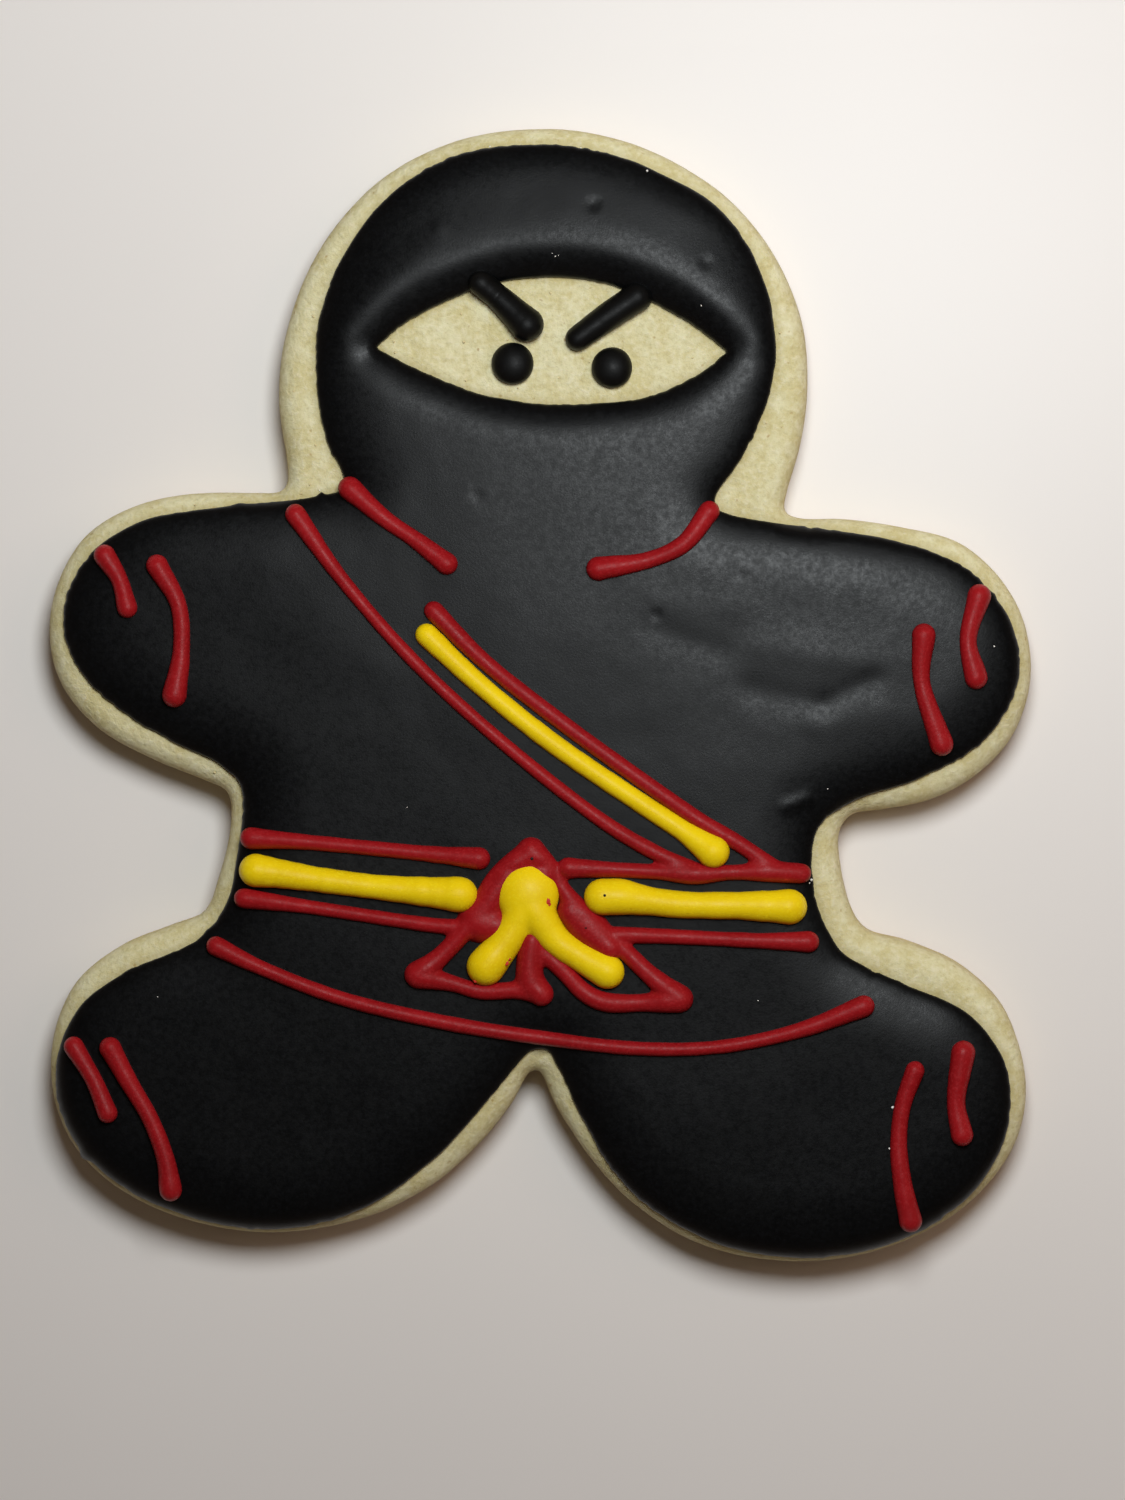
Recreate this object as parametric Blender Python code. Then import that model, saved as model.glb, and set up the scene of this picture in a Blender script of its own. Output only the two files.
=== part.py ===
"""Iced sugar cookie cut as a gingerbread figure and decorated as a masked, hooded figure.

A thick baked cookie lies flat on its back. A flood of black icing covers its face up to a pale
rim, open at an almond slit where the bare cookie shows. Brows, eyes, collar, sash, belt, knot,
hem and the bands on arms and legs are beads of icing piped on top. +X is the figure's right hand
side as it is looked at, +Y runs to the head and +Z is up, out of the face. Every length below is
in millimetres and is turned to metres where a mesh is made.
"""

import math

import bmesh
import bpy
import numpy as np
from mathutils import Vector
from mathutils.geometry import delaunay_2d_cdt

MM = 0.001

# Thicknesses and edges
COOKIE_THICK = 6.5
SHOULDER_WIDE = 1.9
SHOULDER_DEEP = 1.8
FOOT_ROUND = 0.7
FOOT_INSET = 0.5
ICING_THICK = 1.4
ICING_ROUND = 1.5
ICING_FOOT = 0.35
ROLL_RISE = 0.55
ROLL_FROM_SLIT = 3.0
ROLL_WIDE = 1.7
GAP = 0.2
CREASE_ANGLE = 50

# Spacing of the points along the outlines, under the icing's rim, and across the hood
COOKIE_STEP = 2.7
ICING_STEP = 2.7
UNDER_INSETS = (2.0, 1.1, 0.4)
HOOD_GRID = 3.0
HOOD_SIDE = 24.0
HOOD_FOOT_Y = 21.0
HOOD_TOP_Y = 57.0
HOOD_MARGIN = 2.4

# Bead section: a circle cut flat underneath, as wide as the bead, this high for its half width
RED_HEIGHT = 1.5
YELLOW_HEIGHT = 1.35
BEAD_SIDES = 7
BEAD_STEP = 2.6
BROW_STEP = 1.2
END_ANGLES = (14, 38, 64)

# A drop of icing: a ball cut flat this far below its middle, for a radius of one
DROP_CUT = 0.35
DROP_RINGS = (20, 12)

# Outline of the cookie, anticlockwise from the top of the head
HEAD_LEFT = [(0.2, 56.7), (-8.0, 55.6), (-15.8, 51.7), (-21.8, 45.0), (-25.3, 36.7), (-26.1, 29.6)]
NECK_LEFT = [(-25.3, 23.4), (-25.3, 21.2), (-26.0, 20.5), (-28.4, 20.4)]
ARM_LEFT = [(-34.0, 20.4), (-40.2, 19.2), (-45.8, 15.8), (-49.0, 9.0), (-48.5, 2.2), (-44.6, -3.1)]
WAIST_LEFT = [
    (-38.8, -6.4), (-33.6, -8.5), (-31.3, -9.7), (-31.0, -12.6), (-32.2, -18.1), (-33.7, -21.6), (-37.0, -23.0),
]
LEG_LEFT = [(-42.3, -25.2), (-47.0, -29.3), (-49.2, -36.3), (-47.9, -43.4), (-43.6, -48.7), (-36.2, -52.5)]
SHIN_LEFT = [(-27.3, -54.0), (-17.3, -52.4), (-10.8, -49.2), (-6.0, -45.0), (-2.6, -40.7), (-0.9, -37.7)]
CROTCH = [(-0.1, -37.5), (1.6, -41.0)]
LEG_RIGHT = [(5.1, -46.3), (9.2, -50.7), (16.2, -55.0), (26.2, -56.7), (35.6, -55.0), (43.0, -50.8)]
HIP_RIGHT = [(47.6, -45.0), (48.8, -38.8), (46.6, -31.2), (42.2, -26.9), (36.9, -24.5)]
WAIST_RIGHT = [(32.8, -23.3), (31.4, -21.4), (30.3, -17.2), (30.1, -13.6), (31.2, -11.9), (34.4, -11.3)]
ARM_RIGHT = [(39.2, -10.3), (43.7, -7.9), (47.6, -3.5), (49.2, 2.7), (47.6, 9.6), (42.4, 15.2), (36.2, 17.0)]
NECK_RIGHT = [(30.4, 17.8), (26.0, 17.9), (24.6, 18.5), (24.7, 20.0)]
HEAD_RIGHT = [(26.1, 25.0), (26.9, 31.2), (25.9, 38.9), (21.2, 47.4), (14.6, 52.8), (7.4, 55.8)]
COOKIE_KNOTS = (
    HEAD_LEFT + NECK_LEFT + ARM_LEFT + WAIST_LEFT + LEG_LEFT + SHIN_LEFT + CROTCH
    + LEG_RIGHT + HIP_RIGHT + WAIST_RIGHT + ARM_RIGHT + NECK_RIGHT + HEAD_RIGHT
)

# Outline of the black icing, anticlockwise from the top of the hood
HOOD_LEFT = [(0.2, 55.0), (-7.8, 54.0), (-14.2, 50.5), (-19.2, 44.3), (-21.8, 37.7), (-22.1, 31.6)]
COLLAR_LEFT = [(-21.2, 26.0), (-19.4, 21.9), (-19.4, 20.8), (-20.6, 20.3), (-24.0, 19.75)]
SLEEVE_LEFT = [(-31.8, 18.9), (-39.4, 17.6), (-44.6, 14.4), (-47.4, 9.0), (-46.5, 3.6), (-42.4, -0.9)]
TUNIC_LEFT = [
    (-36.0, -4.8), (-31.3, -7.0), (-29.8, -8.7), (-29.5, -11.2), (-30.1, -15.8), (-31.2, -20.7), (-34.2, -24.4),
]
TROUSER_LEFT = [(-40.8, -27.3), (-46.2, -31.4), (-48.5, -37.7), (-47.2, -43.7), (-43.0, -48.4), (-36.6, -51.7)]
CUFF_LEFT = [(-27.0, -53.5), (-18.0, -51.5), (-10.4, -46.2), (-5.8, -41.3), (-2.2, -36.9)]
FORK = [(-0.5, -35.3), (0.9, -35.3), (2.2, -37.4)]
TROUSER_RIGHT = [(4.4, -42.0), (8.0, -48.1), (13.4, -52.5), (20.4, -55.4), (29.2, -56.0), (37.6, -53.7)]
CUFF_RIGHT = [(43.6, -49.2), (46.8, -43.3), (46.7, -36.8), (43.0, -31.6), (36.8, -28.7)]
TUNIC_RIGHT = [(30.6, -25.6), (28.2, -21.6), (27.3, -16.8), (28.0, -13.0), (31.2, -10.5)]
SLEEVE_RIGHT = [(38.2, -8.0), (44.4, -4.3), (47.8, 1.6), (47.2, 7.2), (43.2, 12.4), (36.6, 15.3)]
COLLAR_RIGHT = [(26.2, 17.05), (19.9, 18.0), (17.8, 18.8), (17.6, 19.8)]
HOOD_RIGHT = [(20.2, 23.7), (22.8, 29.2), (23.7, 34.7), (22.4, 41.7), (18.4, 48.2), (11.6, 52.4), (5.6, 54.4)]
ICING_KNOTS = (
    HOOD_LEFT + COLLAR_LEFT + SLEEVE_LEFT + TUNIC_LEFT + TROUSER_LEFT + CUFF_LEFT + FORK
    + TROUSER_RIGHT + CUFF_RIGHT + TUNIC_RIGHT + SLEEVE_RIGHT + COLLAR_RIGHT + HOOD_RIGHT
)

# The eye slit is an almond: two corners joined by two arcs, given by how far each arc bows
SLIT_CORNER_LEFT = (-16.2, 34.8)
SLIT_CORNER_RIGHT = (18.9, 34.4)
SLIT_BOW_UP = 7.0
SLIT_BOW_DOWN = 5.7
SLIT_STEPS = 14

# Beads of icing: (x, y, half width) along each, from the middle of one end to that of the other
BROWS = {
    "brow_left": [(-5.6, 41.2, 1.15), (-3.4, 39.3, 1.25), (-1.1, 37.1, 1.55)],
    "brow_right": [(9.9, 39.8, 1.4), (6.9, 37.8, 1.3), (4.0, 35.7, 1.2)],
}
EYES = {"eye_left": (-2.5, 33.2, 2.1), "eye_right": (7.4, 32.8, 2.03)}
EYE_HEIGHT = 0.9

RED_BEADS = {
    "collar_left_red": [(-18.7, 20.8, 1.1), (-15.1, 17.7, 0.85), (-12.3, 15.8, 0.85), (-9.0, 13.3, 1.05)],
    "collar_right_red": [(17.1, 18.5, 1.0), (14.6, 15.3, 0.85), (11.2, 13.7, 0.8), (6.1, 12.8, 1.15)],
    "belt_top_left_red": [(-28.6, -14.1, 1.05), (-23.8, -14.4, 0.78), (-9.8, -15.7, 0.82), (-5.8, -16.05, 1.1)],
    "hem_red": [
        (-32.1, -24.9, 1.0), (-27.8, -26.95, 0.7), (-19.8, -30.0, 0.7), (-9.8, -32.35, 0.72),
        (0.2, -33.95, 0.68), (10.2, -35.0, 0.66), (18.2, -34.8, 0.64), (26.2, -33.1, 0.75),
        (32.5, -30.7, 1.05),
    ],
    "arm_left_outer_red": [(-43.2, 14.1, 1.05), (-41.7, 11.7, 0.8), (-40.9, 8.9, 1.0)],
    "arm_left_inner_red": [(-37.9, 13.1, 1.05), (-35.8, 9.2, 0.8), (-35.5, 4.6, 0.8), (-36.2, 0.2, 1.05)],
    "arm_right_inner_red": [(38.4, 6.2, 1.05), (38.2, 1.7, 0.8), (40.2, -4.6, 1.05)],
    "arm_right_outer_red": [(43.9, 10.1, 1.1), (42.8, 5.7, 0.8), (43.6, 2.0, 0.95)],
    "leg_left_outer_red": [(-46.4, -35.0, 0.95), (-44.4, -38.3, 0.8), (-43.0, -41.6, 0.95)],
    "leg_left_inner_red": [(-42.6, -35.2, 1.05), (-38.4, -41.8, 0.78), (-36.7, -49.2, 1.05)],
    "leg_right_inner_red": [(37.6, -37.1, 0.9), (36.0, -43.8, 0.75), (37.2, -52.1, 1.1)],
    "leg_right_outer_red": [(42.4, -35.3, 1.15), (41.7, -40.3, 0.9), (42.3, -43.5, 1.05)],
}

# Red beads that ran together while wet: the right belt, both sash lines and the loops of the knot
JOINED_RED = {
    "belt_top_right": [(3.1, -17.0, 1.05), (6.4, -17.1, 0.8), (18.2, -17.6, 0.74), (26.2, -17.55, 0.95)],
    "belt_bottom_left": [(-29.3, -20.1, 1.0), (-23.8, -20.8, 0.7), (-9.8, -22.8, 0.75), (-6.0, -23.0, 0.9)],
    "belt_bottom_right": [(6.6, -23.7, 0.9), (10.2, -23.7, 0.78), (22.2, -24.2, 0.78), (27.0, -24.3, 1.05)],
    "sash_left": [
        (-24.1, 18.2, 1.0), (-19.4, 11.7, 0.7), (-12.4, 3.7, 0.65), (-3.7, -4.3, 0.65),
        (6.5, -12.3, 0.7), (11.7, -15.4, 0.75), (15.4, -17.0, 0.8),
    ],
    "sash_right": [
        (-10.3, 8.6, 0.95), (-5.4, 3.7, 0.78), (2.2, -2.3, 0.78), (10.5, -8.3, 0.78),
        (16.3, -12.3, 0.8), (20.0, -14.5, 0.85), (24.0, -17.2, 0.9),
    ],
    "bow_right_over": [
        (-0.6, -15.4, 1.25), (1.3, -16.6, 0.95), (2.8, -18.7, 0.95), (4.9, -21.7, 1.1), (8.6, -25.1, 0.85),
        (11.1, -27.5, 0.9), (14.2, -30.0, 1.4),
    ],
    "bow_right_under": [
        (14.1, -30.05, 1.4), (10.7, -30.4, 0.9), (6.6, -30.3, 0.95), (4.6, -29.3, 0.9), (2.6, -27.2, 0.9),
        (-0.4, -24.6, 0.95),
    ],
    "bow_left_over": [
        (-0.6, -15.5, 1.3), (-4.0, -17.6, 0.9), (-5.6, -20.6, 1.0), (-7.0, -22.9, 1.0), (-9.7, -25.9, 0.95),
        (-11.9, -27.65, 1.4),
    ],
    "bow_left_under": [
        (-11.8, -27.75, 1.35), (-8.6, -28.5, 0.8), (-5.6, -29.3, 0.8), (-1.6, -29.2, 0.9), (0.5, -29.7, 1.0),
    ],
    "bow_strut": [(-0.5, -24.2, 1.2), (-0.8, -26.6, 1.15), (-0.6, -28.6, 1.3)],
    "bow_fill_left": [(-4.4, -19.6, 1.3), (-4.6, -22.6, 1.5)],
    "bow_fill_right": [(3.0, -21.4, 0.8), (4.6, -23.4, 0.9), (7.0, -25.0, 0.9)],
}

YELLOW_BEADS = {
    "sash_yellow": [
        (-11.0, 6.2, 1.1), (-6.2, 1.7, 0.95), (1.2, -4.3, 0.95), (10.0, -10.3, 0.95),
        (15.4, -13.7, 1.0), (17.6, -14.9, 1.1), (18.2, -15.9, 1.05),
    ],
    "belt_left_yellow": [
        (-28.1, -17.3, 1.65), (-25.8, -17.6, 1.4), (-21.8, -18.2, 1.2), (-15.8, -18.95, 1.2),
        (-10.8, -19.4, 1.45), (-7.7, -19.65, 1.75),
    ],
    "belt_right_yellow": [
        (6.5, -19.85, 1.75), (8.4, -19.85, 1.75), (10.4, -20.15, 1.45), (14.2, -20.6, 1.3),
        (20.2, -20.7, 1.35), (25.1, -20.8, 1.7),
    ],
}
KNOT_BLOB = (-0.95, -19.7, 2.95)
KNOT_BLOB_HEIGHT = 2.7
KNOT_LEGS = [
    [(-1.3, -20.9, 1.9), (-2.7, -23.7, 1.6), (-5.2, -26.8, 1.85)],
    [(-0.4, -20.9, 1.9), (1.9, -24.2, 1.4), (4.4, -25.9, 1.4), (7.0, -27.3, 1.65)],
]


def smooth_path(knots, step, closed):
    """Points about a step apart on the centripetal Catmull-Rom curve through the knots."""
    knots = np.array(knots, float)
    count = len(knots)
    spans = count if closed else count - 1
    found = []
    for i in range(spans):
        if closed:
            p0, p1, p2, p3 = (knots[(i + k) % count] for k in (-1, 0, 1, 2))
        else:
            p1, p2 = knots[i], knots[i + 1]
            p0 = knots[i - 1] if i else 2 * p1 - p2
            p3 = knots[i + 2] if i + 2 < count else 2 * p2 - p1
        t1 = math.sqrt(np.linalg.norm((p1 - p0)[:2]))
        t2 = t1 + math.sqrt(np.linalg.norm((p2 - p1)[:2]))
        t3 = t2 + math.sqrt(np.linalg.norm((p3 - p2)[:2]))
        parts = max(1, round(np.linalg.norm((p2 - p1)[:2]) / step))
        for t in np.linspace(t1, t2, parts, endpoint=False):
            a1 = p0 + (p1 - p0) * t / t1
            a2 = p1 + (p2 - p1) * (t - t1) / (t2 - t1)
            a3 = p2 + (p3 - p2) * (t - t2) / (t3 - t2)
            b1 = a1 + (a2 - a1) * t / t2
            b2 = a2 + (a3 - a2) * (t - t1) / (t3 - t1)
            found.append(b1 + (b2 - b1) * (t - t1) / (t2 - t1))
    if not closed:
        found.append(knots[-1])
    return np.array(found)


def almond(left, right, bow_up, bow_down, steps):
    """The slit's outline, clockwise, so that the icing lies on its left: the upper arc, then the lower."""
    (x0, y0), (x1, y1) = left, right
    chord = x1 - x0
    points = []
    for bow, start, end in ((bow_up, 0, 1), (-bow_down, 1, 0)):
        for share in np.linspace(start, end, steps, endpoint=False):
            # A flattened sine keeps the corners sharp and the middle full
            swell = math.sin(math.pi * share) ** 0.85
            points.append((x0 + chord * share, y0 + (y1 - y0) * share + bow * swell))
    return np.array(points)


def inset(loop, distance):
    """The loop moved towards the solid, which lies on its left."""
    along = np.roll(loop, -1, axis=0) - np.roll(loop, 1, axis=0)
    along /= np.linalg.norm(along, axis=1)[:, None]
    return loop + distance * np.column_stack((-along[:, 1], along[:, 0]))


def distance_to(loop, points):
    """How far each point is from the loop."""
    ends = np.roll(loop, -1, axis=0)
    run = ends - loop
    away = points[:, None, :] - loop[None]
    share = np.clip((away * run).sum(-1) / (run * run).sum(-1), 0, 1)
    return np.linalg.norm(away - share[..., None] * run, axis=-1).min(axis=1)


def inside(loops, points):
    """Whether each point lies within the outer loop and outside the holes, by the even-odd rule."""
    crossings = np.zeros(len(points), int)
    for loop in loops:
        ends = np.roll(loop, -1, axis=0)
        for (x0, y0), (x1, y1) in zip(loop, ends):
            spans = (y0 > points[:, 1]) != (y1 > points[:, 1])
            if y1 != y0:
                at = x0 + (points[:, 1] - y0) * (x1 - x0) / (y1 - y0)
                crossings += spans & (points[:, 0] < at)
    return crossings % 2 == 1


def quarter_round(away, wide, deep):
    """How far a rounded edge has still to rise, at this distance in from the edge."""
    short = 1 - np.clip(away / wide, 0, 1)
    return deep * (1 - np.sqrt(1 - short**2))


COOKIE_LOOP = smooth_path(COOKIE_KNOTS, COOKIE_STEP, True)
ICING_LOOP = smooth_path(ICING_KNOTS, ICING_STEP, True)
SLIT_LOOP = almond(SLIT_CORNER_LEFT, SLIT_CORNER_RIGHT, SLIT_BOW_UP, SLIT_BOW_DOWN, SLIT_STEPS)


def cookie_top(points):
    """Height of the baked top, which falls away over the rounded shoulder."""
    return COOKIE_THICK - quarter_round(distance_to(COOKIE_LOOP, points), SHOULDER_WIDE, SHOULDER_DEEP)


def icing_roll(points):
    """The puffy roll of the hood around the slit, fullest above it."""
    from_slit = distance_to(SLIT_LOOP, points)
    above = np.clip((points[:, 1] - SLIT_CORNER_LEFT[1]) / 4, 0, 1)
    return ROLL_RISE * above * np.exp(-(((from_slit - ROLL_FROM_SLIT) / ROLL_WIDE) ** 2))


def icing_top(points):
    """Height of the black icing's top: level, with rounded edges and the hood's roll."""
    edge = np.minimum(distance_to(ICING_LOOP, points), distance_to(SLIT_LOOP, points))
    rise = ICING_THICK - quarter_round(edge, ICING_ROUND, ICING_THICK - ICING_FOOT)
    return cookie_top(points) + GAP + rise + icing_roll(points)


def new_object(name, mesh, collection, material=None):
    obj = bpy.data.objects.new(name, mesh)
    collection.objects.link(obj)
    if material:
        mesh.materials.append(material)
    return obj


def cap(bm, rings, spare, height, upward):
    """Closes the slab over its rings of vertices, with spare points between them at the given height."""
    flat = [np.array([v.co[:2] for v in ring]) for ring in rings]
    verts = [v for ring in rings for v in ring]
    if len(spare):
        for (x, y), z in zip(spare * MM, height(spare) * MM):
            verts.append(bm.verts.new((x, y, z)))
    edges = []
    first = 0
    for ring in rings:
        edges += [(first + i, first + (i + 1) % len(ring)) for i in range(len(ring))]
        first += len(ring)
    flat_verts = [Vector(v.co[:2]) for v in verts]
    made = delaunay_2d_cdt(flat_verts, edges, [], 0, 1e-9)
    corners = [[ids[0] for ids in made[3]][i] for face in made[2] for i in face]
    corners = np.array(corners).reshape(-1, 3)
    middles = np.array([[sum(flat_verts[i][k] for i in tri) / 3 for k in (0, 1)] for tri in corners])
    for tri in corners[inside(flat, middles)]:
        a, b, c = (verts[i] for i in tri)
        turn = (b.co - a.co).to_2d().cross((c.co - a.co).to_2d())
        if turn:
            bm.faces.new((a, b, c) if (turn > 0) == upward else (a, c, b))


def slab(name, loops, levels, collection, material, spare=(), height=None):
    """A closed slab from its outlines. Each level is an inset and the height there, from below up."""
    bm = bmesh.new()
    stack = []
    for distance, level in levels:
        rings = []
        for loop in loops:
            flat = inset(loop, distance)
            rings.append([bm.verts.new((x * MM, y * MM, z * MM)) for (x, y), z in zip(flat, level(flat))])
        stack.append(rings)
    for lower, upper in zip(stack, stack[1:]):
        for a, b in zip(lower, upper):
            for i in range(len(a)):
                j = (i + 1) % len(a)
                bm.faces.new((a[i], a[j], b[j], b[i]))
    cap(bm, stack[-1], spare, height, True)
    cap(bm, stack[0], (), None, False)
    mesh = bpy.data.meshes.new(name)
    bm.to_mesh(mesh)
    bm.free()
    obj = new_object(name, mesh, collection, material)
    mesh.shade_smooth()
    mesh.set_sharp_from_angle(angle=math.radians(CREASE_ANGLE))
    return obj


def make_cookie(collection, material):
    """The baked base: flat underneath with a small round, straight sides and a soft shoulder."""

    def at(height):
        return lambda flat: np.full(len(flat), float(height))

    levels = [(FOOT_INSET, at(0)), (0, at(FOOT_ROUND))]
    for degrees in (0, 30, 60, 90):
        turn = math.radians(degrees)
        levels.append((
            SHOULDER_WIDE * (1 - math.cos(turn)),
            at(COOKIE_THICK - SHOULDER_DEEP * (1 - math.sin(turn))),
        ))
    return slab("cookie", [COOKIE_LOOP], levels, collection, material)


def make_icing(collection, material):
    """The black flood: it lies on the cookie, over the shoulder too where it reaches the edge."""

    def under(flat):
        return cookie_top(flat) + GAP

    def at(inward):
        short = quarter_round(inward, ICING_ROUND, ICING_THICK - ICING_FOOT)
        return lambda flat: under(flat) + ICING_THICK - short + icing_roll(flat)

    levels = [(inward, under) for inward in UNDER_INSETS]
    for degrees in (0, 30, 55, 90):
        inward = ICING_ROUND * (1 - math.cos(math.radians(degrees)))
        levels.append((inward, at(inward)))
    loops = [ICING_LOOP, SLIT_LOOP]
    across = np.arange(-HOOD_SIDE, HOOD_SIDE + HOOD_GRID, HOOD_GRID)
    up = np.arange(HOOD_FOOT_Y, HOOD_TOP_Y, HOOD_GRID)
    grid = np.array([(x, y) for x in across for y in up])
    room = np.minimum(distance_to(ICING_LOOP, grid), distance_to(SLIT_LOOP, grid))
    grid = grid[inside(loops, grid) & (room > HOOD_MARGIN)]
    return slab("black_icing", loops, levels, collection, material, grid, icing_top)


def bead_section(name, height, guides):
    """A guide curve: the section of a bead of half width 1, standing on its flat side."""
    cut = height - 1
    low = -math.asin(cut)
    curve = bpy.data.curves.new(name, "CURVE")
    curve.dimensions = "2D"
    spline = curve.splines.new("POLY")
    spline.points.add(BEAD_SIDES)
    for i, point in enumerate(spline.points):
        turn = low + (math.pi - 2 * low) * i / BEAD_SIDES
        point.co = (-math.cos(turn) * MM, (math.sin(turn) + cut) * MM, 0, 1)
    spline.use_cyclic_u = True
    guide = new_object(name, curve, guides)
    guide.hide_render = True
    guide.display_type = "WIRE"
    return guide


def bead_points(knots, step):
    """(x, y, half width) along a bead, out to its round ends."""
    path = smooth_path(knots, step, False)
    ends = []
    for end, beside in ((path[0], path[1]), (path[-1], path[-2])):
        out = (end - beside)[:2] / np.linalg.norm((end - beside)[:2])
        ends.append([
            (*(end[:2] + out * end[2] * math.cos(math.radians(a))), end[2] * math.sin(math.radians(a)))
            for a in END_ANGLES
        ])
    return np.array(ends[0] + [tuple(p) for p in path] + ends[1][::-1])


def brow_heights(points):
    """Height that clears what lies under a brow, from the hood's roll down to the bare cookie in the slit."""
    heights = []
    shares = (-1, -0.5, 0, 0.5, 1)
    for x, y, half in points:
        reach = max(half, 0.5)
        around = np.array([(x + reach * i, y + reach * j) for i in shares for j in shares])
        bare = inside([SLIT_LOOP], around)
        heights.append(np.where(bare, cookie_top(around), icing_top(around)).max() + GAP)
    return heights


def bead_curve(name, knots, heights, section, collection, material=None, wider=0.0, step=BEAD_STEP):
    """A bead of icing as a curve whose section is scaled along it. The heights may be one number."""
    points = bead_points(knots, step)
    if callable(heights):
        heights = heights(points)
    curve = bpy.data.curves.new(name, "CURVE")
    curve.dimensions = "3D"
    curve.twist_mode = "Z_UP"
    curve.bevel_mode = "OBJECT"
    curve.bevel_object = section
    curve.use_fill_caps = True
    spline = curve.splines.new("POLY")
    spline.points.add(len(points) - 1)
    for i, (x, y, half) in enumerate(points):
        z = heights if isinstance(heights, float) else heights[i]
        spline.points[i].co = (x * MM, y * MM, z * MM, 1)
        spline.points[i].radius = half + wider
    spline.use_smooth = True
    return new_object(name, curve, collection, material)


def to_mesh_object(obj, collection):
    """The same shape as a mesh with its caps welded. The curve is removed."""
    bpy.context.view_layer.update()
    evaluated = obj.evaluated_get(bpy.context.evaluated_depsgraph_get())
    mesh = bpy.data.meshes.new_from_object(evaluated)
    bm = bmesh.new()
    bm.from_mesh(mesh)
    bmesh.ops.remove_doubles(bm, verts=bm.verts, dist=1e-3 * MM)
    bmesh.ops.recalc_face_normals(bm, faces=bm.faces)
    bm.to_mesh(mesh)
    bm.free()
    name, matrix = obj.name, obj.matrix_world.copy()
    bpy.data.objects.remove(obj)
    made = new_object(name, mesh, collection)
    made.matrix_world = matrix
    return made


def dome(name, x, y, half, height, base, collection, material=None):
    """A drop of icing: a ball cut flat, this high and this wide."""
    bm = bmesh.new()
    around, rings = DROP_RINGS
    bmesh.ops.create_uvsphere(bm, u_segments=around, v_segments=rings, radius=half * MM)
    upright = height / (1 + DROP_CUT)
    for vert in bm.verts:
        vert.co.z = vert.co.z * upright / half + DROP_CUT * upright * MM
    flat = bmesh.ops.bisect_plane(
        bm, geom=bm.verts[:] + bm.edges[:] + bm.faces[:],
        plane_co=(0, 0, 0), plane_no=(0, 0, -1), clear_outer=True,
    )
    rim = [e for e in flat["geom_cut"] if isinstance(e, bmesh.types.BMEdge)]
    bmesh.ops.edgeloop_fill(bm, edges=rim)
    bmesh.ops.recalc_face_normals(bm, faces=bm.faces)
    mesh = bpy.data.meshes.new(name)
    bm.to_mesh(mesh)
    bm.free()
    mesh.shade_smooth()
    obj = new_object(name, mesh, collection, material)
    obj.location = (x * MM, y * MM, base * MM)
    return obj


def joined(name, pieces, cutters, collection, material):
    """One solid from overlapping pieces, less the cutters."""
    obj = pieces[0]
    for operation, others in (("UNION", pieces[1:]), ("DIFFERENCE", cutters)):
        for other in others:
            modifier = obj.modifiers.new(operation.lower(), "BOOLEAN")
            modifier.operation = operation
            modifier.object = other
    bpy.context.view_layer.update()
    mesh = bpy.data.meshes.new_from_object(obj.evaluated_get(bpy.context.evaluated_depsgraph_get()))
    matrix = obj.matrix_world.copy()
    for piece in pieces:
        bpy.data.objects.remove(piece)
    made = new_object(name, mesh, collection)
    made.matrix_world = matrix
    mesh.materials.clear()
    mesh.materials.append(material)
    mesh.shade_smooth()
    mesh.set_sharp_from_angle(angle=math.radians(CREASE_ANGLE))
    return made


def icing_material(name, colour, roughness):
    material = bpy.data.materials.new(name)
    material.use_nodes = True
    shader = material.node_tree.nodes["Principled BSDF"]
    shader.inputs["Base Color"].default_value = (*colour, 1)
    shader.inputs["Roughness"].default_value = roughness
    shader.inputs["Metallic"].default_value = 0
    material.diffuse_color = (*colour, 1)
    return material


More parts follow.
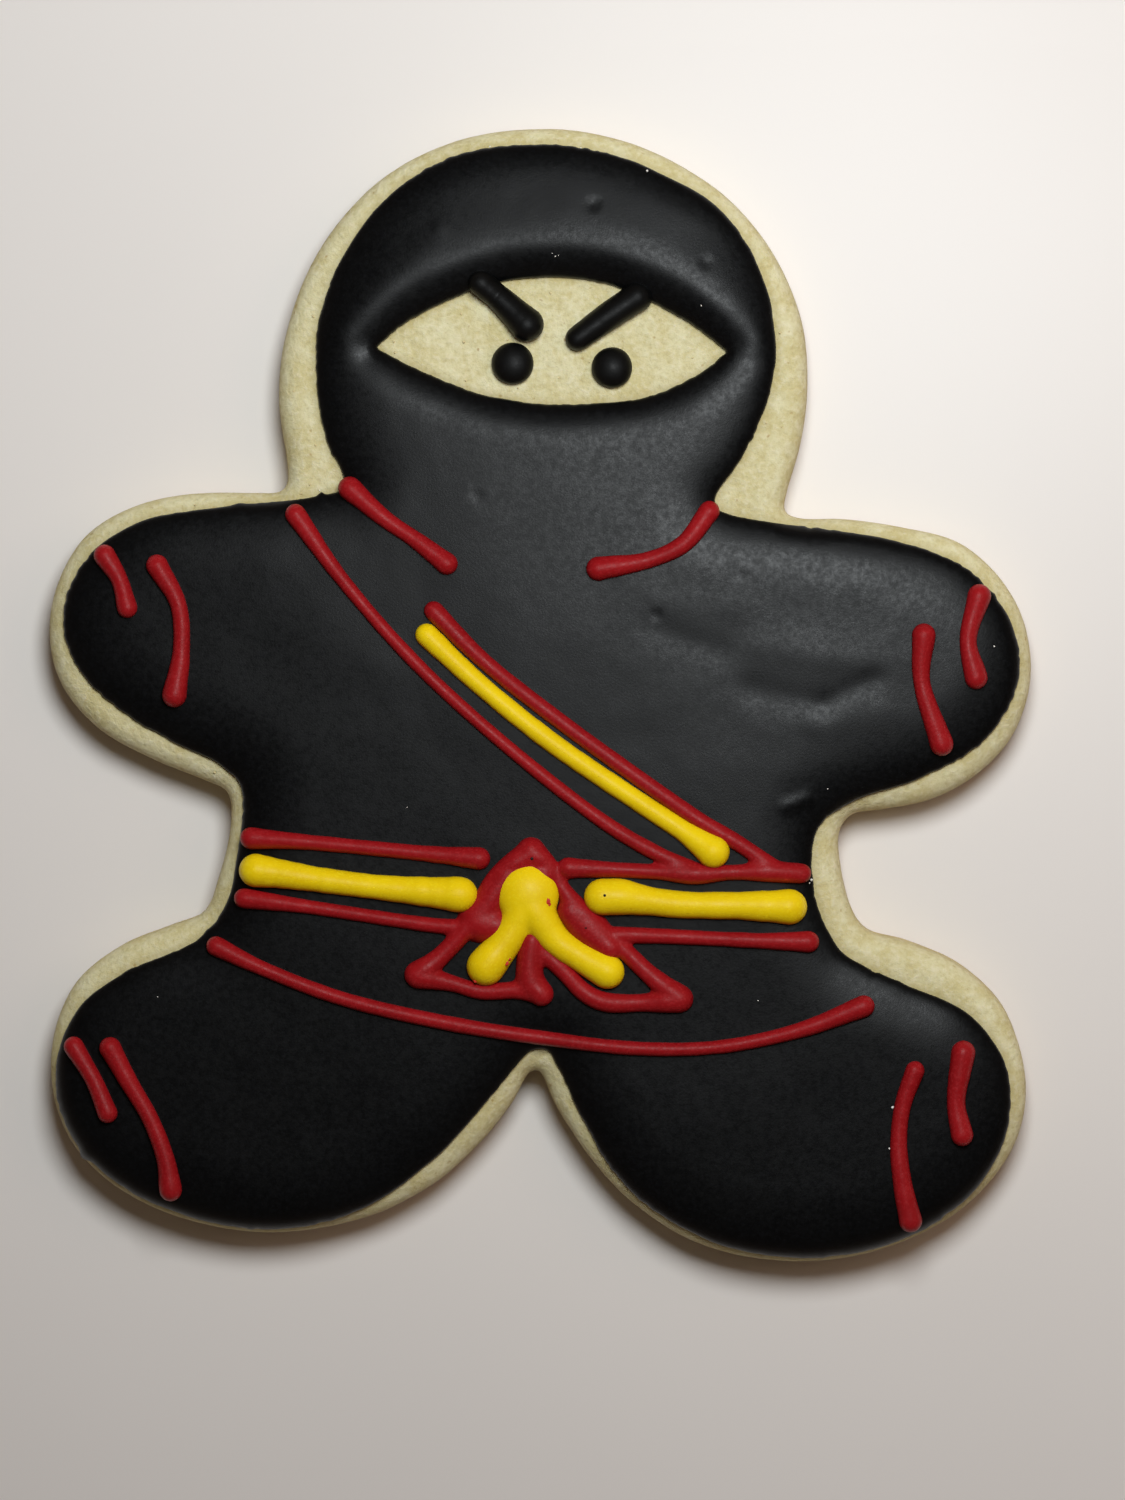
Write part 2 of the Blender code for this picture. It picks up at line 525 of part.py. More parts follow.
def build():
    for obj in list(bpy.data.objects):
        bpy.data.objects.remove(obj)
    scene = bpy.context.scene
    parts = bpy.data.collections.new("iced_cookie")
    guides = bpy.data.collections.new("guides_and_cutters")
    scene.collection.children.link(parts)
    scene.collection.children.link(guides)

    biscuit = icing_material("baked_sugar_dough", (0.72, 0.64, 0.40), 0.85)
    black = icing_material("black_icing", (0.008, 0.009, 0.010), 0.5)
    red = icing_material("red_icing", (0.37, 0.012, 0.016), 0.5)
    yellow = icing_material("yellow_icing", (0.86, 0.62, 0.015), 0.45)

    make_cookie(parts, biscuit)
    make_icing(parts, black)

    red_section = bead_section("red_bead_section", RED_HEIGHT, guides)
    yellow_section = bead_section("yellow_bead_section", YELLOW_HEIGHT, guides)
    chest = COOKIE_THICK + GAP + ICING_THICK + GAP

    for name, knots in BROWS.items():
        bead_curve(name, knots, brow_heights, red_section, parts, black, step=BROW_STEP)
    for name, (x, y, half) in EYES.items():
        dome(name, x, y, half, half * EYE_HEIGHT, COOKIE_THICK + GAP, parts, black)
    for name, knots in RED_BEADS.items():
        bead_curve(name, knots, chest, red_section, parts, red)
    for name, knots in YELLOW_BEADS.items():
        bead_curve(name, knots, chest, yellow_section, parts, yellow)

    blob_x, blob_y, blob_half = KNOT_BLOB
    legs = [
        to_mesh_object(bead_curve(f"knot_leg_{i}", knots, chest, yellow_section, parts), parts)
        for i, knots in enumerate(KNOT_LEGS)
    ]
    blob = dome("knot_blob", blob_x, blob_y, blob_half, KNOT_BLOB_HEIGHT, chest, parts)
    joined("knot_yellow", [blob] + legs, [], parts, yellow)

    lower = chest - GAP / 2
    cutters = [
        to_mesh_object(bead_curve(f"cut_{i}", knots, lower, yellow_section, guides, wider=GAP), guides)
        for i, knots in enumerate([*KNOT_LEGS, *YELLOW_BEADS.values()])
    ]
    cutters.append(dome(
        "cut_blob", blob_x, blob_y, blob_half + GAP, KNOT_BLOB_HEIGHT + 2 * GAP, lower, guides,
    ))
    for cutter in cutters:
        cutter.hide_render = True
        cutter.display_type = "WIRE"
    wet = [
        to_mesh_object(bead_curve(name, knots, chest, red_section, parts), parts)
        for name, knots in JOINED_RED.items()
    ]
    joined("sash_belt_knot_red", wet, cutters, parts, red)


build()
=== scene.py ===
"""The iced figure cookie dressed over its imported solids.

The baked dough, the flood of black icing and every piped line are made again here at a finer grain, from
the same outlines as the solids that they replace. Lengths are in millimetres until a piece is finished,
which puts it in metres.
"""

import math

import bpy
import numpy as np
from mathutils import Matrix, Vector, noise
from mathutils.bvhtree import BVHTree
from mathutils.geometry import delaunay_2d_cdt
from mathutils.kdtree import KDTree


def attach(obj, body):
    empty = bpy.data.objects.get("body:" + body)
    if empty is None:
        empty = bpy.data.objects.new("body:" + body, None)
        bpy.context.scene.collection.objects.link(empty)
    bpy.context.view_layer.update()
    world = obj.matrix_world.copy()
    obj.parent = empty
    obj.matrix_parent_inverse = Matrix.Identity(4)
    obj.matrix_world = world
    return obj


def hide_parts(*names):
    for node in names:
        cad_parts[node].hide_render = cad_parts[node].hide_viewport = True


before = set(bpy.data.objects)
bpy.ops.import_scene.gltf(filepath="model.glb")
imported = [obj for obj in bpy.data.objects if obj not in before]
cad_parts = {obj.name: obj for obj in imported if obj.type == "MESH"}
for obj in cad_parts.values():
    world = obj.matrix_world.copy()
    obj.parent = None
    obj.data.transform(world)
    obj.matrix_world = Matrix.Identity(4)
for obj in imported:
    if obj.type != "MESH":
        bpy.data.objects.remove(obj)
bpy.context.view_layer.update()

MM = 0.001

# The dough, its rounded top edge, and its wall as (how far in, how high) from the foot up
DOUGH_THICK = 6.5
SHOULDER_WIDE = 2.3
SHOULDER_DEEP = 2.2
SHOULDER_TURNS = range(0, 91, 11)
WALL_LEVELS = ((0.5, 0.0), (0.15, 0.3), (0.0, 0.7), (0.0, 1.6), (0.0, 2.6), (0.0, 3.7))
# Lumps, each a size and a height
DOUGH_LUMPS = ((3.4, 0.07), (1.2, 0.07), (0.6, 0.055))
WALL_LUMPS = ((5.0, 0.1), (0.8, 0.035))
UNDERSIDE_LUMPS = (5.0, 0.04)
# How far from the icing's edge the dough is coloured darker and more olive, and above what height
ICING_BAND_WIDE = 0.55
ICING_BAND_ABOVE = 4.0

# The flood: how thick, how high its edge stands, and over what width it rounds up from an edge
FLOOD_THICK = 1.55
FLOOD_FOOT = 0.2
FLOOD_SUNK = 0.12
EDGE_WIDE = 7.0
LIP_WIDE = 4.4
# The roll over the eye slit
BROW_ROLL_WIDE = 3.9
BROW_ROLL_HIGH = 0.25
BROW_ROLL_FALL = 3.2
BROW_ROLL_BLEND = 3.0
# Waves of the face and teeth of the edge, each a size and a height
FLOOD_WAVES = ((11.0, 0.07), (4.0, 0.02), (1.6, 0.006))
WAVES_FADE = 2.5
FLOOD_TEETH = ((2.6, 0.07), (0.6, 0.17))
TEETH_PATCHES = 5.0
# Rings in from each edge, under the flood and over it. The teeth fade out by the last
FLOOD_UNDER_INSETS = (0.9, 0.3, 0.05)
FLOOD_INSETS = (0.0, 0.05, 0.16, 0.33, 0.56, 0.86, 1.2)

# Spacing of points, and half of the field that they cover
FIELD = (50, 58)
CURVE_STEP = 0.1
CURVE_EASING = 12
EDGE_STEP = 0.12
DOUGH_STEP = 0.42
DOUGH_GRAIN = 0.4
FLOOD_STEP = 0.32
FLOOD_GRAIN = 0.55
HIDDEN_GRAIN = 2.4
BEAD_STEP = 0.3
BEAD_SIDES = 22
WET_VOXEL = 0.16
WET_ROUNDS = 24
KNOT_VOXEL = 0.16
KNOT_ROUNDS = 18

# A bead is a round rope of icing sunk a little, so its middle stands this share of its half width up,
# and none stands higher than its top. Its half width swells by each noise, a size and a share
BEAD_UP = 0.42
YELLOW_UP = 0.36
BEAD_TOP = 2.6
WET_TOP = 1.75
BEAD_SWELLS = ((1.7, 0.035), (0.7, 0.02))
GROUND_EASING = 5
END_ANGLES = (7, 18, 30, 43, 57, 73)

# A drop of icing: how deep its middle is sunk, the width of its tip, and how uneven it is
DROP_SUNK = 0.32
TIP_WIDE = 0.45
DROP_WOBBLE = 0.018

# Outline of the dough, anticlockwise from the top of the head
HEAD_LEFT = [(0.2, 56.7), (-8.0, 55.6), (-15.8, 51.7), (-21.8, 45.0), (-25.3, 36.7), (-26.1, 29.6)]
NECK_LEFT = [(-25.3, 23.4), (-25.3, 21.2), (-26.0, 20.5), (-28.4, 20.4)]
ARM_LEFT = [(-34.0, 20.4), (-40.2, 19.2), (-45.8, 15.8), (-49.0, 9.0), (-48.5, 2.2), (-44.6, -3.1)]
WAIST_LEFT = [
    (-38.8, -6.4), (-33.6, -8.5), (-31.3, -9.7), (-31.0, -12.6), (-32.2, -18.1), (-33.7, -21.6),
    (-37.0, -23.0),
]
LEG_LEFT = [(-42.3, -25.2), (-47.0, -29.3), (-49.2, -36.3), (-47.9, -43.4), (-43.6, -48.7), (-36.2, -52.5)]
SHIN_LEFT = [(-27.3, -54.0), (-17.3, -52.4), (-10.8, -49.2), (-6.0, -45.0), (-2.6, -40.7), (-0.9, -37.7)]
CROTCH = [(-0.1, -37.5), (1.6, -41.0)]
LEG_RIGHT = [(5.1, -46.3), (9.2, -50.7), (16.2, -55.0), (26.2, -56.7), (35.6, -55.0), (43.0, -50.8)]
HIP_RIGHT = [(47.6, -45.0), (48.8, -38.8), (46.6, -31.2), (42.2, -26.9), (36.9, -24.5)]
WAIST_RIGHT = [(32.8, -23.3), (31.4, -21.4), (30.3, -17.2), (30.1, -13.6), (31.2, -11.9), (34.4, -11.3)]
ARM_RIGHT = [(39.2, -10.3), (43.7, -7.9), (47.6, -3.5), (49.2, 2.7), (47.6, 9.6), (42.4, 15.2), (36.2, 17.0)]
NECK_RIGHT = [(30.4, 17.8), (26.0, 17.9), (24.6, 18.5), (24.7, 20.0)]
HEAD_RIGHT = [(26.1, 25.0), (26.9, 31.2), (25.9, 38.9), (21.2, 47.4), (14.6, 52.8), (7.4, 55.8)]
DOUGH_KNOTS = (
    HEAD_LEFT + NECK_LEFT + ARM_LEFT + WAIST_LEFT + LEG_LEFT + SHIN_LEFT + CROTCH
    + LEG_RIGHT + HIP_RIGHT + WAIST_RIGHT + ARM_RIGHT + NECK_RIGHT + HEAD_RIGHT
)

# Outline of the black icing, anticlockwise from the top of the hood
HOOD_LEFT = [(0.2, 55.0), (-7.8, 54.0), (-14.2, 50.5), (-19.2, 44.3), (-21.8, 37.7), (-22.1, 31.6)]
COLLAR_LEFT = [(-21.2, 26.0), (-19.4, 21.9), (-19.4, 20.8), (-20.6, 20.3), (-24.0, 19.75)]
SLEEVE_LEFT = [(-31.8, 18.9), (-39.4, 17.6), (-44.6, 14.4), (-47.4, 9.0), (-46.5, 3.6), (-42.4, -0.9)]
TUNIC_LEFT = [
    (-36.0, -4.8), (-31.3, -7.0), (-29.8, -8.7), (-29.5, -11.2), (-30.1, -15.8), (-31.2, -20.7),
    (-34.2, -24.4),
]
TROUSER_LEFT = [
    (-40.8, -27.3), (-46.2, -31.4), (-48.5, -37.7), (-47.2, -43.7), (-43.0, -48.4), (-36.6, -51.7),
]
CUFF_LEFT = [(-27.0, -53.5), (-18.0, -51.5), (-10.4, -46.2), (-5.8, -41.3), (-2.2, -36.9)]
FORK = [(-0.5, -35.3), (0.9, -35.3), (2.2, -37.4)]
TROUSER_RIGHT = [(4.4, -42.0), (8.0, -48.1), (13.4, -52.5), (20.4, -55.4), (29.2, -56.0), (37.6, -53.7)]
CUFF_RIGHT = [(43.6, -49.2), (46.8, -43.3), (46.7, -36.8), (43.0, -31.6), (36.8, -28.7)]
TUNIC_RIGHT = [(30.6, -25.6), (28.2, -21.6), (27.3, -16.8), (28.0, -13.0), (31.2, -10.5)]
SLEEVE_RIGHT = [(38.2, -8.0), (44.4, -4.3), (47.8, 1.6), (47.2, 7.2), (43.2, 12.4), (36.6, 15.3)]
COLLAR_RIGHT = [(26.2, 17.05), (19.9, 18.0), (17.8, 18.8), (17.6, 19.8)]
HOOD_RIGHT = [(20.2, 23.7), (22.8, 29.2), (23.7, 34.7), (22.4, 41.7), (18.4, 48.2), (11.6, 52.4), (5.6, 54.4)]
FLOOD_KNOTS = (
    HOOD_LEFT + COLLAR_LEFT + SLEEVE_LEFT + TUNIC_LEFT + TROUSER_LEFT + CUFF_LEFT + FORK
    + TROUSER_RIGHT + CUFF_RIGHT + TUNIC_RIGHT + SLEEVE_RIGHT + COLLAR_RIGHT + HOOD_RIGHT
)

# The eye slit, clockwise from its left corner, so that the icing lies on its left
SLIT_KNOTS = [
    (-16.2, 34.8), (-13.4, 37.1), (-9.4, 39.3), (-4.2, 41.2), (1.4, 41.8), (6.6, 41.2), (11.6, 39.2),
    (15.8, 36.7), (18.9, 34.4), (15.4, 31.8), (10.8, 29.9), (5.4, 29.2), (0.6, 29.2), (-5.0, 30.0),
    (-10.6, 32.0),
]
SLIT_CORNERS = ((-16.2, 34.8), (18.9, 34.4))
CORNER_CREASES = ((-16.0, 34.9, -18.2, 35.1), (18.7, 34.5, 20.8, 35.4))
CREASE_WIDE = 0.9
CREASE_DEEP = 0.03

# Low ridges and hollows in the flood: x and y of each end, width, and height or depth
RIPPLES = [
    (11.8, 6.7, 18.0, 4.6, 1.4, -0.06), (22.6, 5.1, 32.8, 3.5, 1.7, 0.055),
    (21.3, 0.7, 28.3, -0.8, 1.5, -0.075), (28.3, -0.8, 33.5, 1.9, 1.0, -0.06),
    (27.7, -2.4, 34.4, -1.0, 1.5, 0.05), (15.0, 14.4, 33.0, 12.6, 2.4, 0.06),
    (24.8, -10.9, 26.8, -10.1, 0.6, 0.13), (12.0, 9.6, 20.0, 9.0, 1.6, 0.03),
    (-27.0, 12.0, -17.0, 3.0, 3.2, 0.05), (32.0, -26.6, 42.0, -29.8, 1.6, 0.05),
]
# Pits where bubbles broke: x, y, width and depth
PITS = [
    (5.6, 49.0, 0.42, 0.16), (16.7, 43.2, 0.4, 0.14), (-9.8, 46.6, 0.7, -0.05), (20.4, 12.2, 0.4, 0.10),
    (11.8, 8.2, 0.4, 0.10), (27.6, 13.0, 0.5, 0.08), (9.2, 24.6, 0.4, 0.06), (-6.0, 20.0, 0.5, 0.05),
]
# Spots where the flood crept out past its line: x, y, how far and how wide
CREEPS = [
    (-45.7, -46.2, 0.8, 0.6), (-29.9, 19.1, 0.2, 0.6), (-21.6, 20.1, 0.35, 0.3), (-31.3, -7.4, 0.25, 1.2),
]

# Beads of icing: (x, y, half width) along each, from the middle of one end to that of the other
BLACK_BEADS = {
    "brow_left": [(-5.6, 41.2, 1.3), (-3.4, 39.3, 1.35), (-1.1, 37.1, 1.7)],
    "brow_right": [(9.9, 39.8, 1.5), (6.9, 37.8, 1.4), (4.0, 35.7, 1.25)],
}
EYES = {"eye_left": (-2.5, 33.2, 2.1), "eye_right": (7.4, 32.8, 2.03)}
EYE_HIGH = 1.75
EYE_TIP = 0.03

RED_BEADS = {
    "collar_left_red": [(-18.7, 20.8, 1.15), (-15.1, 17.7, 0.85), (-12.3, 15.8, 0.85), (-9.0, 13.3, 1.1)],
    "collar_right_red": [(17.1, 18.5, 1.05), (14.6, 15.3, 0.9), (11.2, 13.7, 0.82), (6.1, 12.8, 1.2)],
    "belt_top_left_red": [
        (-28.6, -14.1, 1.1), (-23.8, -14.4, 0.8), (-9.8, -15.7, 0.85), (-5.8, -16.05, 1.15),
    ],
    "hem_red": [
        (-32.1, -24.9, 1.0), (-27.8, -26.95, 0.75), (-19.8, -30.0, 0.72), (-9.8, -32.35, 0.75),
        (0.2, -33.95, 0.72), (10.2, -35.0, 0.7), (18.2, -34.8, 0.68), (26.2, -33.1, 0.78),
        (32.5, -30.7, 1.1),
    ],
    "arm_left_outer_red": [(-43.2, 14.1, 1.1), (-41.7, 11.7, 0.85), (-40.9, 8.9, 1.05)],
    "arm_left_inner_red": [(-37.9, 13.1, 1.1), (-35.8, 9.2, 0.85), (-35.5, 4.6, 0.88), (-36.2, 0.2, 1.22)],
    "arm_right_inner_red": [(38.4, 6.2, 1.18), (38.2, 1.7, 0.85), (40.2, -4.6, 1.18)],
    "arm_right_outer_red": [(43.9, 10.1, 1.15), (42.8, 5.7, 0.85), (43.6, 2.0, 1.15)],
    "leg_left_outer_red": [(-46.4, -35.0, 1.0), (-44.4, -38.3, 0.85), (-43.0, -41.6, 1.0)],
    "leg_left_inner_red": [
        (-42.7, -35.1, 1.1), (-40.9, -38.4, 0.92), (-38.7, -42.2, 0.86), (-37.2, -46.2, 0.92),
        (-36.7, -49.3, 1.15),
    ],
    "leg_right_inner_red": [
        (37.6, -37.1, 0.95), (36.4, -40.6, 0.84), (36.0, -44.4, 0.84), (36.4, -48.4, 0.95),
        (37.2, -52.1, 1.15),
    ],
    "leg_right_outer_red": [(42.4, -35.3, 1.2), (41.7, -40.3, 0.95), (42.3, -43.5, 1.1)],
}

# Red beads that ran together while wet: the right belt, both sash lines and the loops of the knot
WET_RED = [
    [
        (3.1, -17.0, 1.1), (6.4, -17.1, 0.85), (12.0, -17.35, 0.8), (15.6, -17.55, 1.1), (19.4, -17.4, 0.8),
        (23.0, -17.3, 1.1), (26.3, -17.5, 1.0),
    ],
    [(-29.3, -20.1, 1.05), (-23.8, -20.8, 0.75), (-9.8, -22.8, 0.8), (-6.0, -23.0, 0.95)],
    [(6.6, -23.7, 0.95), (10.2, -23.7, 0.82), (22.2, -24.2, 0.82), (27.0, -24.3, 1.1)],
    [
        (-24.1, 18.2, 1.05), (-19.4, 11.7, 0.74), (-12.4, 3.7, 0.7), (-3.7, -4.3, 0.7),
        (6.5, -12.3, 0.75), (11.7, -15.4, 0.8), (15.4, -17.0, 0.85),
    ],
    [
        (-10.3, 8.6, 1.0), (-5.4, 3.7, 0.82), (2.2, -2.3, 0.82), (10.5, -8.3, 0.82),
        (16.3, -12.3, 0.82), (20.0, -14.5, 0.85), (24.0, -17.2, 0.9),
    ],
    [
        (-0.6, -15.4, 1.5), (1.1, -16.8, 1.0), (2.35, -18.8, 0.85), (4.5, -21.5, 1.15), (8.6, -25.1, 0.9),
        (11.1, -27.5, 0.95), (14.2, -30.0, 1.4),
    ],
    [
        (14.1, -30.05, 1.4), (10.7, -30.4, 0.95), (6.6, -30.3, 1.0), (4.6, -29.3, 0.95),
        (2.6, -27.2, 0.95), (-0.4, -24.6, 1.0),
    ],
    [
        (-0.6, -15.5, 1.5), (-3.9, -17.8, 1.0), (-5.6, -20.6, 1.05), (-7.0, -22.9, 1.05), (-9.7, -25.9, 1.0),
        (-11.9, -27.65, 1.4),
    ],
    [
        (-11.8, -27.75, 1.35), (-8.6, -28.5, 0.85), (-5.6, -29.3, 0.85), (-1.6, -29.2, 0.95),
        (0.5, -29.7, 1.05),
    ],
    [(-0.5, -24.2, 1.3), (-0.8, -26.6, 1.35), (-0.6, -28.4, 1.5), (0.4, -29.5, 1.3)],
    [(-3.0, -17.8, 1.4), (-4.6, -20.2, 1.6), (-5.9, -22.2, 2.2), (-4.0, -22.8, 2.0)],
    [(3.3, -21.3, 1.45), (5.0, -22.9, 2.0), (7.2, -24.9, 1.4)],
    [(-2.0, -17.9, 1.5), (0.6, -17.9, 1.5)],
]
# Where the red ran together most, x, y and reach, how that fades, and the share of easing elsewhere
WET_SPOTS = [(0.3, -23.0, 7.6), (15.5, -17.0, 4.5), (22.5, -16.8, 4.5)]
WET_SPOT_FADE = 3.0
WET_LINE_SHARE = 0.15

YELLOW_BEADS = {
    "sash_yellow": [
        (-11.0, 6.2, 1.15), (-6.2, 1.7, 1.0), (1.2, -4.3, 1.0), (10.0, -10.3, 1.0),
        (14.6, -13.3, 1.1), (16.2, -14.4, 1.35), (17.5, -15.3, 1.65),
    ],
    "belt_left_yellow": [
        (-28.1, -17.3, 1.7), (-25.8, -17.6, 1.45), (-21.8, -18.2, 1.25), (-15.8, -18.95, 1.25),
        (-10.8, -19.4, 1.5), (-7.7, -19.65, 1.8),
    ],
    "belt_right_yellow": [
        (6.5, -19.85, 1.8), (8.4, -19.85, 1.8), (10.4, -20.15, 1.5), (14.2, -20.6, 1.35),
        (20.2, -20.7, 1.4), (25.1, -20.8, 1.75),
    ],
}
# The yellow of the knot: a blob, x, y and half width, with two legs
KNOT_BLOB = (-0.95, -19.65, 3.2)
KNOT_BLOB_HIGH = 2.6
KNOT_LEGS = [
    [(-1.4, -21.2, 1.85), (-2.9, -24.0, 1.7), (-5.1, -26.8, 2.0)],
    [(-0.4, -20.9, 2.0), (1.9, -24.2, 1.55), (4.4, -25.9, 1.5), (7.0, -27.3, 1.8)],
]

# Flecks of stray icing: x, y and half width, and how high they stand
RED_FLECKS = [
    (1.1, -20.2, 0.3), (1.25, -20.5, 0.2), (-3.0, -26.4, 0.26), (-2.7, -26.0, 0.16), (-6.1, -28.2, 0.2),
]
DARK_FLECKS = [(6.8, -19.6, 0.14), (-0.46, -16.0, 0.16), (4.9, -22.9, 0.1)]
FLECK_HIGH = 0.05

# Stray grains of sugar: x, y and half width
SUGAR_GRAINS = [
    (-4.8, 54.8, 0.09), (4.3, 54.6, 0.1), (10.9, 52.3, 0.12), (1.8, 43.8, 0.08), (1.5, 44.1, 0.05),
    (2.1, 43.9, 0.05), (16.3, 38.9, 0.08), (45.4, 5.1, 0.09), (28.9, -9.1, 0.08), (35.4, -40.8, 0.16),
    (36.7, -41.0, 0.1), (35.1, -44.9, 0.17), (35.3, -45.3, 0.1), (27.0, -17.9, 0.16), (27.3, -18.2, 0.13),
    (27.1, -18.5, 0.1), (-21.8, 20.6, 0.1), (-13.0, -11.0, 0.06), (22.0, -30.2, 0.07), (-38.0, -30.0, 0.06),
]
# Crumbs are thrown over the whole figure and kept on bare dough. The middle of a crumb or a grain
# stands this share of its half width up
CRUMBS_THROWN = 469
CRUMB_SIZES = (0.08, 0.16)
CRUMB_UP = 0.2
SUGAR_UP = 0.4

# Photographic frame in millimetres, its middle on the cookie, and how the camera stands over it
FRAME_TALL = 149.7
FRAME_MIDDLE = (2.45, -5.3)
CAMERA_FAR = 650.0
CAMERA_LEAN = 3.0
CAMERA_LEAN_TO = 40.0

# The table: how far it runs from its middle, and how far under the cookie it lies
TABLE_REACH = 2500.0
TABLE_BELOW = 0.02


def smooth_path(knots, step, closed):
    """Points about a step apart on the centripetal Catmull-Rom curve through the knots."""
    knots = np.array(knots, float)
    count = len(knots)
    spans = count if closed else count - 1
    found = []
    for i in range(spans):
        if closed:
            p0, p1, p2, p3 = (knots[(i + k) % count] for k in (-1, 0, 1, 2))
        else:
            p1, p2 = knots[i], knots[i + 1]
            p0 = knots[i - 1] if i else 2 * p1 - p2
            p3 = knots[i + 2] if i + 2 < count else 2 * p2 - p1
        t1 = math.sqrt(np.linalg.norm((p1 - p0)[:2]))
        t2 = t1 + math.sqrt(np.linalg.norm((p2 - p1)[:2]))
        t3 = t2 + math.sqrt(np.linalg.norm((p3 - p2)[:2]))
        parts = max(1, round(np.linalg.norm((p2 - p1)[:2]) / step))
        for t in np.linspace(t1, t2, parts, endpoint=False):
            a1 = p0 + (p1 - p0) * t / t1
            a2 = p1 + (p2 - p1) * (t - t1) / (t2 - t1)
            a3 = p2 + (p3 - p2) * (t - t2) / (t3 - t2)
            b1 = a1 + (a2 - a1) * t / t2
            b2 = a2 + (a3 - a2) * (t - t1) / (t3 - t1)
            found.append(b1 + (b2 - b1) * (t - t1) / (t2 - t1))
    if not closed:
        found.append(knots[-1])
    return np.array(found)


def even(loop, step):
    """The closed loop with its points spaced evenly."""
    ring = np.vstack([loop, loop[:1]])
    run = np.concatenate([[0], np.cumsum(np.linalg.norm(np.diff(ring, axis=0), axis=1))])
    at = np.linspace(0, run[-1], round(run[-1] / step), endpoint=False)
    return np.column_stack([np.interp(at, run, ring[:, k]) for k in (0, 1)])


def softened(loop, rounds):
    """The closed loop with its corners eased."""
    for _ in range(rounds):
        loop = (np.roll(loop, 1, axis=0) + 2 * loop + np.roll(loop, -1, axis=0)) / 4
    return loop


def inward(loop):
    """The direction from each point of the loop to its solid, which lies on its left."""
    along = np.roll(loop, -1, axis=0) - np.roll(loop, 1, axis=0)
    along /= np.linalg.norm(along, axis=1)[:, None]
    return np.column_stack((-along[:, 1], along[:, 0]))


def wander(points, size, seed):
    """Smooth noise from about -1 to 1, in lumps of about this size."""
    return np.array([noise.noise(Vector((*(p / size), seed + 0.5))[:3]) for p in points[:, :2]])


def lumps(points, sizes, seed):
    """The sum of several noises, each a size and a height."""
    return sum(high * wander(points, size, seed + i) for i, (size, high) in enumerate(sizes))


def rounded(away, wide):
    """How far an edge has risen, from 0 to 1, as a quarter round this wide."""
    short = 1 - np.clip(away / wide, 0, 1)
    return np.sqrt(1 - short**2)


def stepped(value):
    """A smooth step from 0 to 1."""
    value = np.clip(value, 0, 1)
    return value * value * (3 - 2 * value)


class Outline:
    """A closed outline with its solid on its left."""

    def __init__(self, loop, step):
        self.loop = even(loop, step)
        self.tree = KDTree(len(self.loop))
        for i, (x, y) in enumerate(self.loop):
            self.tree.insert((x, y, 0), i)
        self.tree.balance()

    def depth(self, points):
        """How far in from the outline each point lies, less than nothing outside it."""
        near = np.array([self.tree.find((x, y, 0))[1] for x, y in points[:, :2]])
        count = len(self.loop)
        best = np.full(len(points), 1e9)
        for back in (1, 0):
            start = self.loop[(near - back) % count]
            run = self.loop[(near - back + 1) % count] - start
            away = points[:, :2] - start
            share = np.clip((away * run).sum(1) / (run * run).sum(1), 0, 1)
            best = np.minimum(best, np.linalg.norm(away - share[:, None] * run, axis=1))
        facing = ((points[:, :2] - self.loop[near]) * inward(self.loop)[near]).sum(1)
        return np.where(facing > 0, best, -best)


DOUGH = Outline(softened(smooth_path(DOUGH_KNOTS, CURVE_STEP, True), CURVE_EASING), EDGE_STEP)
FLOOD = Outline(softened(smooth_path(FLOOD_KNOTS, CURVE_STEP, True), CURVE_EASING), EDGE_STEP)
# The slit's two lids meet in sharp corners
SLIT_LIDS = (SLIT_KNOTS[:9], SLIT_KNOTS[8:] + SLIT_KNOTS[:1])
SLIT_ARCS = [smooth_path(lid, CURVE_STEP, False)[:-1] for lid in SLIT_LIDS]
SLIT = Outline(softened(np.vstack(SLIT_ARCS), CURVE_EASING), CURVE_STEP)


def plain_top(points, rim=None):
    """Height of the dough without its grain: level, falling over the rounded shoulder."""
    rim = DOUGH.depth(points) if rim is None else rim
    return DOUGH_THICK - SHOULDER_DEEP * (1 - rounded(rim, SHOULDER_WIDE))


def dough_top(points, rim=None):
    """Height of the baked face, with its lumps and crumb."""
    return plain_top(points, rim) + lumps(points, DOUGH_LUMPS, 3)


def along_line(points, x0, y0, x1, y1, wide):
    """How near each point is to a short line, from 0 to 1."""
    start, run = np.array((x0, y0)), np.array((x1 - x0, y1 - y0))
    away = points[:, :2] - start
    share = np.clip(away @ run / (run @ run), 0, 1)
    gap = np.linalg.norm(away - share[:, None] * run, axis=1)
    return np.exp(-((gap / wide) ** 2))


